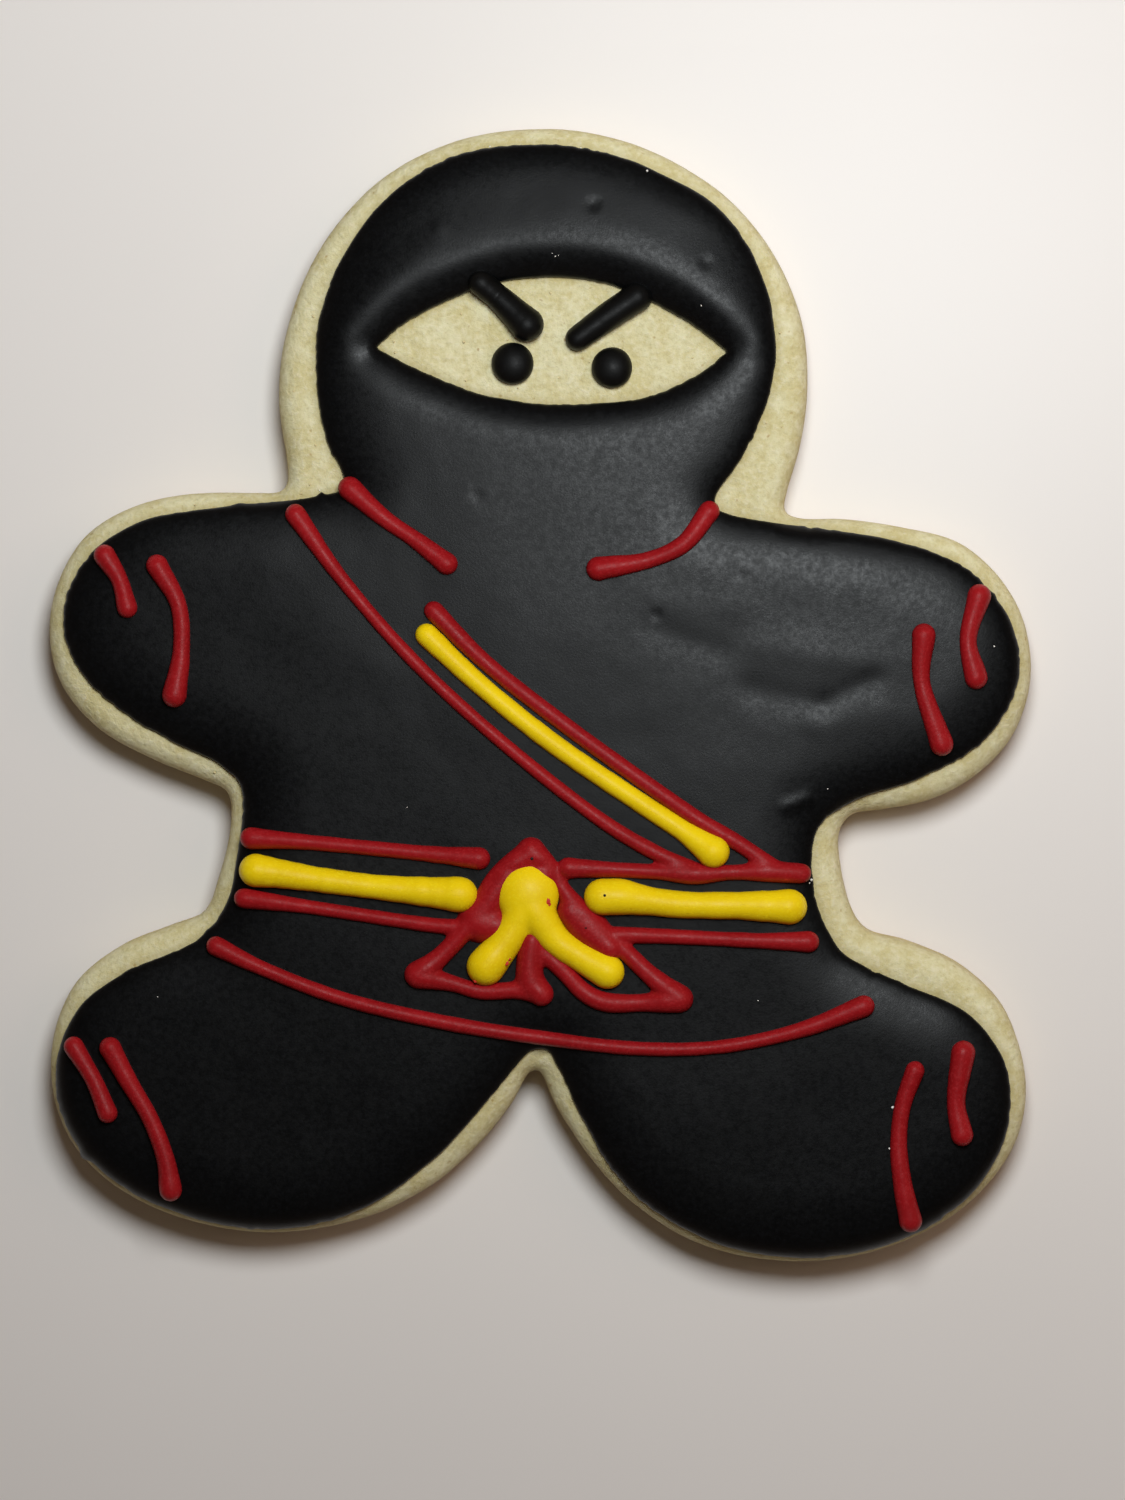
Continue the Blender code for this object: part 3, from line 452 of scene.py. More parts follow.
def flood_top(points, out=None, slit=None):
    """Height of the black icing: full in the middle, rolled over the eye slit, soft at every edge."""
    out = FLOOD.depth(points) if out is None else out
    slit = SLIT.depth(points) if slit is None else slit
    outer, lower = rounded(out, EDGE_WIDE), rounded(slit, LIP_WIDE)
    crest = np.where(
        slit < BROW_ROLL_WIDE,
        stepped(slit / BROW_ROLL_WIDE),
        np.exp(-(((slit - BROW_ROLL_WIDE) / BROW_ROLL_FALL) ** 2)),
    )
    upper = rounded(slit, BROW_ROLL_WIDE) + BROW_ROLL_HIGH * crest
    middle = np.interp(points[:, 0], *zip(*SLIT_CORNERS))
    over = stepped((points[:, 1] - middle) / BROW_ROLL_BLEND + 0.5)
    brow = upper * over + lower * (1 - over)
    thick = FLOOD_THICK * (FLOOD_FOOT + (1 - FLOOD_FOOT) * outer * brow)
    full = np.clip(np.minimum(out, slit) / WAVES_FADE, 0, 1)
    height = plain_top(points) + thick + lumps(points, FLOOD_WAVES, 20) * full
    for x0, y0, x1, y1, wide, high in RIPPLES:
        height += high * along_line(points, x0, y0, x1, y1, wide)
    for x0, y0, x1, y1 in CORNER_CREASES:
        height -= CREASE_DEEP * along_line(points, x0, y0, x1, y1, CREASE_WIDE) * full
    for x, y, wide, deep in PITS:
        height -= deep * np.exp(-(((points[:, 0] - x) ** 2 + (points[:, 1] - y) ** 2) / wide**2))
    return height


def icing_depth(points):
    """How far in from both of the flood's edges each point lies, less than nothing where dough shows."""
    return np.minimum(FLOOD.depth(points), SLIT.depth(points))


def lattice(grain):
    """Points in a triangular pattern over the whole figure."""
    rows = np.arange(-FIELD[1], FIELD[1], grain * math.sqrt(3) / 2)
    across = np.arange(-FIELD[0], FIELD[0], grain)
    return np.array([(x + (grain / 2 if i % 2 else 0), y) for i, y in enumerate(rows) for x in across])


class Skin:
    """Vertices and faces of one closed piece, in millimetres."""

    def __init__(self):
        self.verts, self.faces = [], []

    def ring(self, flat, heights):
        first = len(self.verts)
        self.verts += [(x, y, z) for (x, y), z in zip(flat, heights)]
        return list(range(first, len(self.verts)))

    def wall(self, lower, upper):
        for i in range(len(lower)):
            j = (i + 1) % len(lower)
            self.faces.append((lower[i], lower[j], upper[j], upper[i]))

    def cover(self, rings, spare, height, upward):
        """Triangles over the rings, with spare points between them at the given height."""
        ids = [i for ring in rings for i in ring]
        flat = [Vector(self.verts[i][:2]) for i in ids] + [Vector(p) for p in spare]
        edges, first = [], 0
        for ring in rings:
            edges += [(first + i, first + (i + 1) % len(ring)) for i in range(len(ring))]
            first += len(ring)
        places, _, triangles, origins, *_ = delaunay_2d_cdt(flat, edges, [], 0, 1e-7)
        bounds = [Outline(np.array([self.verts[i][:2] for i in ring]), 0.1) for ring in rings]
        middles = np.array([[sum(places[i][k] for i in tri) / 3 for k in (0, 1)] for tri in triangles])
        keep = np.all([bound.depth(middles) > 0 for bound in bounds], axis=0)
        lone = [i for i, source in enumerate(origins) if not any(s < len(ids) for s in source)]
        heights = dict(zip(lone, height(np.array([places[i][:] for i in lone])))) if lone else {}
        where = {}
        for tri, kept in zip(triangles, keep):
            if not kept:
                continue
            for i in tri:
                if i not in where:
                    if i in heights:
                        where[i] = len(self.verts)
                        self.verts.append((*places[i], heights[i]))
                    else:
                        where[i] = ids[min(origins[i])]
            a, b, c = (where[i] for i in tri)
            self.faces.append((a, b, c) if upward else (a, c, b))

    def mesh(self, name):
        mesh = bpy.data.meshes.new(name)
        mesh.from_pydata([tuple(v) for v in self.verts], [], self.faces)
        mesh.validate()
        return mesh


def finished(name, mesh, material, replaced):
    """A piece in metres at the origin, riding on the cookie in place of its plain solids."""
    mesh.transform(Matrix.Scale(MM, 4))
    mesh.materials.clear()
    mesh.materials.append(material)
    mesh.shade_smooth()
    obj = bpy.data.objects.new(name, mesh)
    bpy.context.scene.collection.objects.link(obj)
    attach(obj, "root")
    if replaced:
        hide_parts(*replaced)


def make_dough(material):
    """The baked base, with an uneven wall, a soft shoulder and a crumbly face."""
    loop = softened(even(DOUGH.loop, DOUGH_STEP), 1)
    toward = inward(softened(loop, 6))
    skin = Skin()

    def pushed(distance, height):
        rough = sum(
            high * (1 + np.array([noise.noise(Vector((x / size, y / size, height / size))) for x, y in loop]))
            for size, high in WALL_LUMPS
        )
        return loop + toward * (distance + rough * 0.5)[:, None]

    rings = [skin.ring(pushed(distance, z), np.full(len(loop), z)) for distance, z in WALL_LEVELS]
    for degrees in SHOULDER_TURNS:
        turn = math.radians(degrees)
        distance = SHOULDER_WIDE * (1 - math.cos(turn))
        z = DOUGH_THICK - SHOULDER_DEEP * (1 - math.sin(turn))
        flat = pushed(distance, z)
        rings.append(skin.ring(flat, z + lumps(flat, DOUGH_LUMPS, 3) * math.sin(turn)))
    for lower, upper in zip(rings, rings[1:]):
        skin.wall(lower, upper)
    # Close points where the dough shows, and far ones where the flood hides it
    points = lattice(DOUGH_GRAIN)
    shown = points[(DOUGH.depth(points) > SHOULDER_WIDE + 0.45) & (icing_depth(points) < 1.0)]
    points = lattice(HIDDEN_GRAIN)
    hidden = points[(DOUGH.depth(points) > SHOULDER_WIDE + 0.6) & (icing_depth(points) > 1.6)]
    skin.cover([rings[-1]], np.vstack([shown, hidden]), dough_top, True)
    below = points[DOUGH.depth(points) > 1.6]
    size, high = UNDERSIDE_LUMPS
    skin.cover([rings[0]], below, lambda p: high * (1 + wander(p, size, 9)), False)
    mesh = skin.mesh("baked_dough")
    points = np.array(skin.verts)
    # A band within about half a millimetre of the icing, coloured darker and more olive by the finish, kept
    # off the wall
    near = np.exp(-((icing_depth(points) / ICING_BAND_WIDE) ** 2))
    beside_icing = mesh.attributes.new("beside_icing", "FLOAT", "POINT")
    beside_icing.data.foreach_set("value", np.where(points[:, 2] > ICING_BAND_ABOVE, near, 0.0))
    finished("baked_dough", mesh, material, ["cookie"])


def make_flood(material):
    """The flood of black icing, with tiny teeth where it dried against the crumb."""
    skin = Skin()
    loops = [softened(even(FLOOD.loop, FLOOD_STEP), 1), softened(even(SLIT.loop, FLOOD_STEP * 0.8), 1)]
    stacks = []
    for k, loop in enumerate(loops):
        toward = inward(softened(loop, 8))
        patchy = np.clip(0.45 + 1.1 * wander(loop, TEETH_PATCHES, 50 + k), 0.1, 1.0)
        teeth = lumps(loop, FLOOD_TEETH[:1], 40 + k) + patchy * lumps(loop, FLOOD_TEETH[1:], 42 + k)
        for x, y, reach, wide in CREEPS:
            teeth -= reach * np.exp(-((loop[:, 0] - x) ** 2 + (loop[:, 1] - y) ** 2) / wide**2)

        def at(distance):
            fade = np.clip(1 - distance / FLOOD_INSETS[-1], 0, 1)
            return loop + toward * (distance + teeth * fade)[:, None]

        rings = []
        for distance in FLOOD_UNDER_INSETS:
            flat = at(distance)
            rings.append(skin.ring(flat, plain_top(flat) - FLOOD_SUNK))
        for distance in FLOOD_INSETS:
            flat = at(distance)
            away = np.full(len(loop), distance)
            rings.append(skin.ring(flat, flood_top(flat, **{("out", "slit")[k]: away})))
        for lower, upper in zip(rings, rings[1:]):
            skin.wall(lower, upper)
        stacks.append(rings)
    points = lattice(FLOOD_GRAIN)
    spare = points[icing_depth(points) > FLOOD_INSETS[-1] + FLOOD_GRAIN * 0.75]
    skin.cover([rings[-1] for rings in stacks], spare, flood_top, True)
    points = lattice(HIDDEN_GRAIN)
    spare = points[icing_depth(points) > 2.2]
    skin.cover([rings[0] for rings in stacks], spare, lambda p: plain_top(p) - FLOOD_SUNK, False)
    finished("black_flood", skin.mesh("black_flood"), material, ["black_icing"])


def ground(points):
    """What a piped line lies on: the flood, or the bare dough inside the slit and past the flood's edge."""
    bare = (SLIT.depth(points) < 0) | (FLOOD.depth(points) < 0)
    return np.where(bare, plain_top(points), flood_top(points))


def spine(knots, up, seed, most=BEAD_TOP):
    """(x, y, z, half width) along a bead, out to its round ends. A wide wet one lies flatter."""
    path = smooth_path(knots, BEAD_STEP, False)
    swell = 1.0
    for i, (size, share) in enumerate(BEAD_SWELLS):
        swell = swell + share * wander(path, size, seed + 5 * i)
    path[:, 2] *= swell
    low = ground(path)
    padded = np.concatenate([np.full(GROUND_EASING, low[0]), low, np.full(GROUND_EASING, low[-1])])
    window = 2 * GROUND_EASING + 1
    low = np.convolve(padded, np.ones(window) / window, "valid")
    found = [(x, y, z + min(up * half, most - half), half) for (x, y, half), z in zip(path, low)]
    for end, beside, first in ((found[0], found[1], True), (found[-1], found[-2], False)):
        x, y, z, half = end
        out = np.array((x - beside[0], y - beside[1]))
        out /= np.linalg.norm(out)
        round_end = []
        for degrees in END_ANGLES:
            turn = math.radians(degrees)
            past = (x + out[0] * half * math.cos(turn), y + out[1] * half * math.cos(turn))
            round_end.append((*past, z, half * math.sin(turn)))
        found = round_end + found if first else found + round_end[::-1]
    return found


def node(tree, kind, inputs=None, **settings):
    """Adds a node, sets it up, and gives each input a value or a link."""
    made = tree.nodes.new(kind)
    for key, value in settings.items():
        setattr(made, key, value)
    for key, value in (inputs or {}).items():
        if isinstance(value, bpy.types.NodeSocket):
            tree.links.new(value, made.inputs[key])
        else:
            made.inputs[key].default_value = value
    return made


def geometry_tree(name, **inputs):
    """A Geometry Nodes tree, and what it is given: a named input of each kind."""
    tree = bpy.data.node_groups.new(name, "GeometryNodeTree")
    tree.interface.new_socket("Geometry", in_out="OUTPUT", socket_type="NodeSocketGeometry")
    for key, kind in inputs.items():
        tree.interface.new_socket(key, in_out="INPUT", socket_type="NodeSocket" + kind)
    return tree, node(tree, "NodeGroupInput").outputs


def piped_bead_tree():
    """Geometry Nodes: a round rope of icing swept along a spine that carries its half width."""
    tree, given = geometry_tree("piped_bead", Spine="Geometry", Sides="Int", Icing="Material")
    path = node(tree, "GeometryNodeMeshToCurve", {"Mesh": given["Spine"]}).outputs["Curve"]
    path = node(tree, "GeometryNodeSetCurveNormal", {"Curve": path}, mode="Z_UP").outputs["Curve"]
    half = node(
        tree, "GeometryNodeInputNamedAttribute", {"Name": "half_width"}, data_type="FLOAT",
    ).outputs["Attribute"]
    circle = node(
        tree, "GeometryNodeCurvePrimitiveCircle", {"Resolution": given["Sides"], "Radius": 1.0},
    ).outputs["Curve"]
    rope = node(
        tree, "GeometryNodeCurveToMesh",
        {"Curve": path, "Profile Curve": circle, "Scale": half, "Fill Caps": True},
    ).outputs["Mesh"]
    rope = node(tree, "GeometryNodeRealizeInstances", {"Geometry": rope}).outputs["Geometry"]
    rope = node(
        tree, "GeometryNodeSetMaterial", {"Geometry": rope, "Material": given["Icing"]},
    ).outputs["Geometry"]
    node(tree, "NodeGroupOutput", {"Geometry": rope})
    return tree


def scatter_tree():
    """Geometry Nodes: small angular grains set on points, turned and sized at random."""
    tree, given = geometry_tree("stray_grains", Places="Geometry", Seed="Int", Grain="Material")
    half = node(
        tree, "GeometryNodeInputNamedAttribute", {"Name": "half_width"}, data_type="FLOAT",
    ).outputs["Attribute"]
    grain = node(tree, "GeometryNodeMeshIcoSphere", {"Radius": 1.0, "Subdivisions": 1}).outputs["Mesh"]
    turn = node(
        tree, "FunctionNodeRandomValue", {1: (6.28, 6.28, 6.28), "Seed": given["Seed"]},
        data_type="FLOAT_VECTOR",
    ).outputs[0]
    uneven = node(
        tree, "FunctionNodeRandomValue", {0: (0.7, 0.7, 0.7), 1: (1.3, 1.3, 1.3), "Seed": given["Seed"]},
        data_type="FLOAT_VECTOR",
    ).outputs[0]
    size = node(tree, "ShaderNodeVectorMath", {0: uneven, "Scale": half}, operation="SCALE").outputs[0]
    grains = node(
        tree, "GeometryNodeInstanceOnPoints",
        {"Points": given["Places"], "Instance": grain, "Rotation": turn, "Scale": size},
    ).outputs["Instances"]
    grains = node(tree, "GeometryNodeRealizeInstances", {"Geometry": grains}).outputs["Geometry"]
    grains = node(
        tree, "GeometryNodeSetMaterial", {"Geometry": grains, "Material": given["Grain"]},
    ).outputs["Geometry"]
    node(tree, "NodeGroupOutput", {"Geometry": grains})
    return tree


def evaluated(obj):
    """The mesh that an object's modifiers make. The object itself goes."""
    bpy.context.scene.collection.objects.link(obj)
    bpy.context.view_layer.update()
    made = bpy.data.meshes.new_from_object(obj.evaluated_get(bpy.context.evaluated_depsgraph_get()))
    bpy.data.objects.remove(obj)
    return made


def grown(name, lines, tree, **given):
    """The mesh that a Geometry Nodes tree makes from lines of (x, y, z, half width)."""
    places, edges = [], []
    for line in lines:
        first = len(places)
        places += line
        edges += [(first + i, first + i + 1) for i in range(len(line) - 1)]
    mesh = bpy.data.meshes.new(name)
    mesh.from_pydata([tuple(p[:3]) for p in places], edges, [])
    halves = mesh.attributes.new("half_width", "FLOAT", "POINT")
    halves.data.foreach_set("value", [float(p[3]) for p in places])
    obj = bpy.data.objects.new(name, mesh)
    modifier = obj.modifiers.new(tree.name, "NODES")
    modifier.node_group = tree
    for item in tree.interface.items_tree:
        if item.in_out == "INPUT" and item.name in given:
            modifier[item.identifier] = given[item.name]
    made = evaluated(obj)
    made.name = name
    return made


def faces_of(mesh):
    """The vertices and faces of a mesh as plain lists."""
    return [tuple(v.co) for v in mesh.vertices], [tuple(p.vertices) for p in mesh.polygons]


def joined(name, parts):
    """One mesh from the vertices and faces of several parts."""
    verts, faces = [], []
    for part_verts, part_faces in parts:
        faces += [tuple(i + len(verts) for i in face) for face in part_faces]
        verts += part_verts
    mesh = bpy.data.meshes.new(name)
    mesh.from_pydata(verts, [], faces)
    return mesh


def run_together(name, parts, voxel, rounds, share):
    """Wet beads as one skin, its creases filled in where the share is high."""
    obj = bpy.data.objects.new(name, joined(name, parts))
    skin = obj.modifiers.new("one_skin", "REMESH")
    skin.mode, skin.voxel_size = "VOXEL", voxel
    mesh = evaluated(obj)
    points = np.array([v.co for v in mesh.vertices])
    one, two = np.array([e.vertices for e in mesh.edges]).T
    count = len(points)
    beside = np.bincount(one, minlength=count) + np.bincount(two, minlength=count)
    weight = 0.5 * np.broadcast_to(share(points), count)
    for _ in range(rounds):
        middle = np.column_stack([
            np.bincount(one, points[two, k], count) + np.bincount(two, points[one, k], count)
            for k in range(3)
        ]) / beside[:, None]
        points += weight[:, None] * (middle - points)
    mesh.vertices.foreach_set("co", points.ravel())
    return mesh


def surface_of(mesh):
    """A tree that finds the top of a finished mesh under a place in millimetres."""
    return BVHTree.FromPolygons([v.co for v in mesh.vertices], [p.vertices for p in mesh.polygons])


def drop(x, y, half, high, tip=0.0, around=48, rings=28, base=None):
    """Vertices and faces of a drop of icing: a ball, flattened and sunk a little, with a soft tip."""
    base = float(ground(np.array([(x, y)]))[0]) if base is None else base
    upright = high / (1 + DROP_SUNK)
    verts, faces = [], []
    for i in range(rings + 1):
        turn = math.pi * i / rings
        wide, z = half * math.sin(turn), upright * (DROP_SUNK - math.cos(turn))
        lift = tip * math.exp(-((wide / TIP_WIDE) ** 2)) if i > rings / 2 else 0.0
        count = 1 if i in (0, rings) else around
        for k in range(count):
            a = 2 * math.pi * k / around
            wobble = 1 + DROP_WOBBLE * noise.noise(Vector((x + math.cos(a), y + math.sin(a), z / 2)))
            verts.append((x + wide * wobble * math.cos(a), y + wide * wobble * math.sin(a), base + z + lift))
    starts = [0] + [1 + around * i for i in range(rings)]
    for k in range(around):
        j = (k + 1) % around
        faces.append((0, 1 + j, 1 + k))
        for i in range(1, rings - 1):
            a, b = starts[i], starts[i + 1]
            faces.append((a + k, a + j, b + j, b + k))
        faces.append((starts[rings - 1] + k, starts[rings - 1] + j, starts[rings]))
    return verts, faces


def linear(code):
    """An sRGB hex colour as linear red, green, blue and alpha."""
    parts = [int(code[i:i + 2], 16) / 255 for i in (1, 3, 5)]
    return (*(c / 12.92 if c <= 0.04045 else ((c + 0.055) / 1.055) ** 2.4 for c in parts), 1.0)


def finish_material(name, roughness, ior, **fixed):
    """A Principled material and its tree, shader and coordinates on the piece."""
    material = bpy.data.materials.new(name)
    material.use_nodes = True
    tree = material.node_tree
    shader = tree.nodes["Principled BSDF"]
    shader.inputs["Roughness"].default_value = roughness
    shader.inputs["IOR"].default_value = ior
    shader.inputs["Metallic"].default_value = 0.0
    for key, value in fixed.items():
        shader.inputs[key.replace("_", " ")].default_value = value
    place = node(tree, "ShaderNodeTexCoord").outputs["Object"]
    return material, tree, shader, place


def baked_sugar_dough():
    """Pale rolled dough, baked soft: dry and matt, with buttery patches, a fine crumb and a browned foot."""
    material, tree, shader, place = finish_material("baked_sugar_dough", 0.86, 1.42, Subsurface_Weight=0.06)
    shader.inputs["Subsurface Radius"].default_value = (1.0, 0.7, 0.35)
    shader.inputs["Subsurface Scale"].default_value = 0.8 * MM
    # Butter and flour do not mix evenly, so patches of 2 to 4 mm are richer or paler. The crumb is 0.3 to
    # 0.6 mm, drawn at 0.6 mm so that it shows, with a few toasted crumbs and a grit between them
    patches, crumb, toasted, grit = (
        node(
            tree, "ShaderNodeTexNoise",
            {"Vector": place, "Scale": 1 / (size * MM), "Detail": detail, "Roughness": roughness},
        ).outputs["Fac"]
        for size, detail, roughness in ((2.6, 3.0, 0.6), (0.6, 3.0, 0.65), (0.8, 1.0, 0.5), (0.22, 2.0, 0.6))
    )
    height = node(tree, "ShaderNodeSeparateXYZ", {"Vector": place}).outputs["Z"]
    beside_icing = node(tree, "ShaderNodeAttribute", attribute_name="beside_icing").outputs["Fac"]
    colour = linear("#cfc694")
    for value, start, end, most, tint in (
        (patches, 0.38, 0.62, 1.0, "#dbd6ad"),
        (crumb, 0.5, 0.68, 0.4, "#ece7cd"),
        (crumb, 0.47, 0.32, 0.35, "#b3a674"),
        (toasted, 0.72, 0.8, 0.6, "#a07f45"),
        # The dough is coloured darker and more olive right beside the icing's edge
        (beside_icing, 0.0, 1.0, 0.45, "#a3935a"),
        # The wall is coloured browner than the face, partly for the heat it took and partly as painted shade
        # on the wall, and the sheet browned the underside
        (height, 6.0 * MM, 3.0 * MM, 0.55, "#cbb37c"),
        (height, 0.9 * MM, 0.15 * MM, 0.85, "#b98a4c"),
    ):
        share = node(
            tree, "ShaderNodeMapRange", {"Value": value, "From Min": start, "From Max": end, "To Max": most},
        ).outputs["Result"]
        mixed = node(tree, "ShaderNodeMix", {0: share, 6: colour, 7: linear(tint)}, data_type="RGBA")
        colour = mixed.outputs[2]
    tree.links.new(colour, shader.inputs["Base Color"])
    bump = node(
        tree, "ShaderNodeBump", {"Strength": 0.8, "Distance": 0.2 * MM, "Height": crumb},
    ).outputs["Normal"]
    bump = node(
        tree, "ShaderNodeBump", {"Strength": 0.4, "Distance": 0.05 * MM, "Height": grit, "Normal": bump},
    ).outputs["Normal"]
    tree.links.new(bump, shader.inputs["Normal"])
    return material


def royal_icing(name, deep, plain, pale, roughness, spread, grain, strength, **fixed):
    """Dried royal icing: fine sugar that sets to a satin face, with a grain that breaks up its sheen."""
    material, tree, shader, place = finish_material(name, roughness, 1.5, **fixed)
    # The colour is stirred in by hand, so it drifts over about 5 mm
    cloud = node(tree, "ShaderNodeTexNoise", {"Vector": place, "Scale": 1 / (5.0 * MM)}).outputs["Fac"]
    # The sugar's grain is under 0.1 mm, drawn about twice as coarse so that it shows
    cells = node(tree, "ShaderNodeTexVoronoi", {"Vector": place, "Scale": 1 / (grain * MM)}).outputs
    fine = node(tree, "ShaderNodeSeparateXYZ", {"Vector": cells["Color"]}).outputs["X"]
    colour = linear(deep)
    for value, start, end, most, tint in ((cloud, 0.35, 0.65, 1.0, plain), (fine, 0.6, 1.0, 0.5, pale)):
        share = node(
            tree, "ShaderNodeMapRange", {"Value": value, "From Min": start, "From Max": end, "To Max": most},
        ).outputs["Result"]
        mixed = node(tree, "ShaderNodeMix", {0: share, 6: colour, 7: linear(tint)}, data_type="RGBA")
        colour = mixed.outputs[2]
    tree.links.new(colour, shader.inputs["Base Color"])
    # It dries unevenly, so its sheen comes and goes over about 0.6 mm and finer
    mottle = node(
        tree, "ShaderNodeTexNoise",
        {"Vector": place, "Scale": 1 / (0.6 * MM), "Detail": 3.0, "Roughness": 0.75},
    ).outputs["Fac"]
    rough = node(
        tree, "ShaderNodeMapRange",
        {
            "Value": mottle, "From Min": 0.36, "From Max": 0.64,
            "To Min": roughness - spread, "To Max": roughness + spread,
        },
    ).outputs["Result"]
    tree.links.new(rough, shader.inputs["Roughness"])
    bump = node(
        tree, "ShaderNodeBump", {"Strength": strength, "Distance": 0.05 * MM, "Height": cells["Distance"]},
        invert=True,
    ).outputs["Normal"]
    tree.links.new(bump, shader.inputs["Normal"])
    return material


def plain_finish(name, colour, roughness):
    """A small finish with a faint mottle."""
    material, tree, shader, place = finish_material(name, roughness, 1.5)
    cloud = node(tree, "ShaderNodeTexNoise", {"Vector": place, "Scale": 1 / (0.4 * MM)}).outputs["Fac"]
    shade = tuple(c * 0.93 for c in linear(colour)[:3]) + (1.0,)
    mottled = node(tree, "ShaderNodeMix", {0: cloud, 6: shade, 7: linear(colour)}, data_type="RGBA")
    tree.links.new(mottled.outputs[2], shader.inputs["Base Color"])
    return material


def make_beads(black, red, yellow, smudge):
    """The piped lines, those that ran together, the eyes and the flecks, in place of their plain solids."""
    tree = piped_bead_tree()
    seed = 60
    for beads, icing, slot, up in (
        (BLACK_BEADS, black, "black_icing", BEAD_UP),
        (RED_BEADS, red, "red_icing", BEAD_UP),
        (YELLOW_BEADS, yellow, "yellow_icing", YELLOW_UP),
    ):
        for name, knots in beads.items():
            seed += 1
            mesh = grown(name + "_piped", [spine(knots, up, seed)], tree, Sides=BEAD_SIDES, Icing=icing)
            finished(name + "_piped", mesh, icing, [name])
            if name == "belt_right_yellow":
                yellow_belt_top = surface_of(mesh)

    lines = [spine(knots, BEAD_UP, 90 + i, WET_TOP) for i, knots in enumerate(WET_RED)]
    ropes = grown("wet_red", lines, tree, Sides=BEAD_SIDES, Icing=red)

    def wetness(points):
        inside = [reach - np.hypot(points[:, 0] - x, points[:, 1] - y) for x, y, reach in WET_SPOTS]
        return np.max([
            WET_LINE_SHARE + (1 - WET_LINE_SHARE) * stepped(deep / WET_SPOT_FADE) for deep in inside
        ], axis=0)

    mesh = run_together("sash_and_knot_red_piped", [faces_of(ropes)], WET_VOXEL, WET_ROUNDS, wetness)
    finished("sash_and_knot_red_piped", mesh, red, ["sash_belt_knot_red"])
    red_top = surface_of(mesh)

    lines = [spine(knots, YELLOW_UP, 120 + i) for i, knots in enumerate(KNOT_LEGS)]
    ropes = grown("knot_legs", lines, tree, Sides=BEAD_SIDES, Icing=yellow)
    blob = drop(*KNOT_BLOB, KNOT_BLOB_HIGH)
    mesh = run_together("knot_yellow_piped", [faces_of(ropes), blob], KNOT_VOXEL, KNOT_ROUNDS, lambda p: 1.0)
    finished("knot_yellow_piped", mesh, yellow, ["knot_yellow"])
    yellow_top = surface_of(mesh)

    for name, (x, y, half) in EYES.items():
        mesh = joined(name + "_dropped", [drop(x, y, half, EYE_HIGH, EYE_TIP)])
        finished(name + "_dropped", mesh, black, [name])

    for name, flecks, tops, icing, slot in (
        ("red_flecks", RED_FLECKS, (yellow_top, red_top), smudge, "red_icing"),
        ("dark_flecks", DARK_FLECKS, (red_top, yellow_belt_top), black, "black_icing"),
    ):
        drops = []
        for x, y, half in flecks:
            hits = [top.ray_cast(Vector((x, y, 30)) * MM, Vector((0, 0, -1)))[0] for top in tops]
            base = max(hit.z for hit in hits if hit) / MM
            drops.append(drop(x, y, half, FLECK_HIGH, 0.0, 12, 8, base))
        finished(name, joined(name, drops), icing, [])


def make_grains(sugar, crumb):
    """Stray sugar on the icing, and loose crumbs along the bare rim and in the slit."""
    tree = scatter_tree()
    flat = np.array([g[:2] for g in SUGAR_GRAINS])
    places = [[(x, y, z + SUGAR_UP * half, half)] for (x, y, half), z in zip(SUGAR_GRAINS, ground(flat))]
    mesh = grown("stray_sugar", places, tree, Seed=4, Grain=sugar)
    finished("stray_sugar", mesh, sugar, [])
    picker = np.random.default_rng(8)
    flat = picker.uniform((-49, -57), (49, 57), (CRUMBS_THROWN, 2))
    bare = (DOUGH.depth(flat) > 1.2) & ((FLOOD.depth(flat) < -0.15) | (SLIT.depth(flat) < -0.15))
    flat = flat[bare]
    halves = picker.uniform(*CRUMB_SIZES, len(flat))
    tops = dough_top(flat)
    places = [[(x, y, z + CRUMB_UP * half, half)] for (x, y), z, half in zip(flat, tops, halves)]
    mesh = grown("loose_crumbs", places, tree, Seed=7, Grain=crumb)
    finished("loose_crumbs", mesh, crumb, [])


def make_stage():
    """A pale table with a slight gloss, wide enough to fill the view."""
    low, high = -TABLE_REACH, TABLE_REACH
    corners = [(x, y, -TABLE_BELOW) for x, y in ((low, low), (high, low), (high, high), (low, high))]
    mesh = joined("table_top", [(corners, [(0, 1, 2, 3)])])
    mesh.transform(Matrix.Scale(MM, 4))
    table, tree, shader, place = finish_material("lacquered_table_top", 0.34, 1.45)
    cloud = node(
        tree, "ShaderNodeTexNoise", {"Vector": place, "Scale": 1 / (60.0 * MM), "Detail": 1.0},
    ).outputs["Fac"]
    mottled = node(
        tree, "ShaderNodeMix", {0: cloud, 6: linear("#e3e0dc"), 7: linear("#e8e5e1")}, data_type="RGBA",
    ).outputs[2]
    tree.links.new(mottled, shader.inputs["Base Color"])
    mesh.materials.append(table)
    floor = bpy.data.objects.new("table_top", mesh)
    bpy.context.scene.collection.objects.link(floor)


def add_light(name, place_mm, size_mm, watts, colour):
    """A soft round light that faces the cookie."""
    data = bpy.data.lights.new(name, "AREA")
    data.shape, data.size = "DISK", size_mm * MM
    data.energy, data.color = watts, colour
    lamp = bpy.data.objects.new(name, data)
    lamp.location = Vector(place_mm) * MM
    aim = Vector((*FRAME_MIDDLE, 0.0)) * MM - lamp.location
    lamp.rotation_euler = aim.to_track_quat("-Z", "Y").to_euler()
    bpy.context.scene.collection.objects.link(lamp)
    return lamp


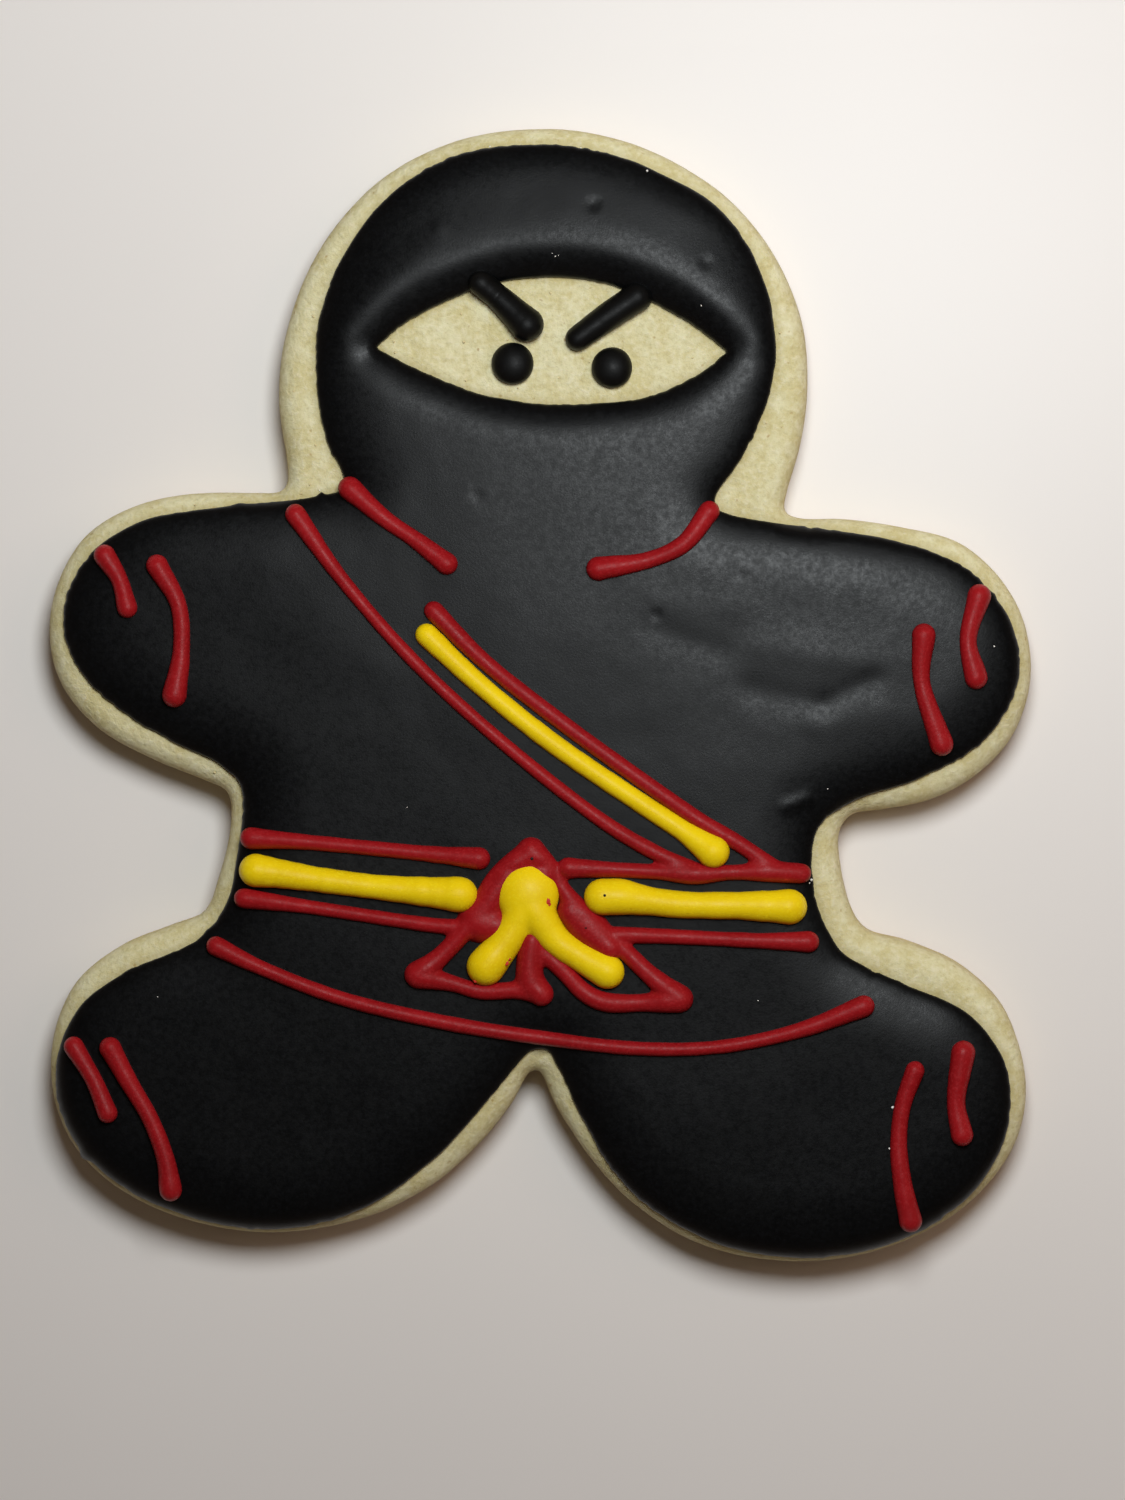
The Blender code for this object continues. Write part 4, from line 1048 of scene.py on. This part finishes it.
def make_light_and_camera():
    """A lamp past the head, a weak window, the ceiling's sheen, a dim warm room, and a camera overhead."""
    scene = bpy.context.scene
    # The lamp hangs facing straight down. It and the window give the light and the shadows, and the ceiling
    # patch only the sheen on the icing
    lamp = add_light("lamp", (47.0, 133.0, 315.0), 150.0, 1.085, (0.97, 0.997, 1.012))
    lamp.rotation_euler = (0.0, 0.0, 0.0)
    window = add_light("side_window", (260.0, 80.0, 280.0), 240.0, 0.16, (1.0, 0.66, 0.5))
    lamp.visible_glossy = window.visible_glossy = False
    patch = add_light("ceiling_patch", (29.0, 48.0, 230.0), 80.0, 0.18, (0.94, 0.985, 1.0))
    patch.visible_diffuse = False
    world = bpy.data.worlds.new("dim_room")
    world.use_nodes = True
    back = world.node_tree.nodes["Background"]
    # The walls are pale and the ceiling over the cookie is dim, so that flat black icing stays dark
    upward = node(world.node_tree, "ShaderNodeTexCoord").outputs["Generated"]
    upward = node(world.node_tree, "ShaderNodeSeparateXYZ", {"Vector": upward}).outputs["Z"]
    glow = node(
        world.node_tree, "ShaderNodeMapRange",
        {"Value": upward, "From Min": 0.3, "From Max": 0.9, "To Min": 0.13, "To Max": 0.03},
    ).outputs["Result"]
    world.node_tree.links.new(glow, back.inputs["Strength"])
    back.inputs["Color"].default_value = (1.0, 0.7, 0.52, 1.0)
    scene.world = world
    scene.view_settings.view_transform = "Standard"

    # It looks almost straight down, with the frame as tall as the photograph's
    data = bpy.data.cameras.new("overhead_camera")
    data.sensor_fit, data.sensor_height = "VERTICAL", 24.0
    data.lens = data.sensor_height * CAMERA_FAR / FRAME_TALL
    data.clip_start, data.clip_end = 0.01, 20.0
    camera = bpy.data.objects.new("overhead_camera", data)
    lean, to = math.radians(CAMERA_LEAN), math.radians(CAMERA_LEAN_TO)
    back_along = Vector((math.sin(lean) * math.cos(to), math.sin(lean) * math.sin(to), math.cos(lean)))
    right = Vector((0, 1, 0)).cross(back_along).normalized()
    up = back_along.cross(right)
    turned = Matrix((right, up, back_along)).transposed().to_4x4()
    aim = Vector((*FRAME_MIDDLE, DOUGH_THICK))
    camera.matrix_world = Matrix.Translation((aim + back_along * CAMERA_FAR) * MM) @ turned
    scene.collection.objects.link(camera)
    scene.camera = camera


DOUGH_FINISH = baked_sugar_dough()
BLACK_FINISH = royal_icing(
    "flooded_black_icing", "#040506", "#060708", "#0c0e11",
    roughness=0.35, spread=0.055, grain=0.22, strength=0.07, Specular_IOR_Level=0.3,
)
PIPED_BLACK_FINISH = royal_icing(
    "piped_black_icing", "#040505", "#060707", "#0b0c0e",
    roughness=0.48, spread=0.06, grain=0.18, strength=0.12, Specular_IOR_Level=0.35,
)
RED_FINISH = royal_icing(
    "piped_red_icing", "#8c0e14", "#971218", "#a8262b",
    roughness=0.45, spread=0.08, grain=0.2, strength=0.2, Specular_IOR_Level=0.32,
)
YELLOW_FINISH = royal_icing(
    "piped_yellow_icing", "#ebc906", "#f3d40a", "#f7de20",
    roughness=0.44, spread=0.06, grain=0.2, strength=0.12, Specular_IOR_Level=0.35,
)
SMUDGE_FINISH = plain_finish("smudged_red_icing", "#c8321c", 0.5)
SUGAR_FINISH = plain_finish("grain_sugar", "#f4f2ec", 0.3)
CRUMB_FINISH = plain_finish("dough_crumb", "#d9cb9c", 0.9)

make_dough(DOUGH_FINISH)
make_flood(BLACK_FINISH)
make_beads(PIPED_BLACK_FINISH, RED_FINISH, YELLOW_FINISH, SMUDGE_FINISH)
make_grains(SUGAR_FINISH, CRUMB_FINISH)
make_stage()
make_light_and_camera()
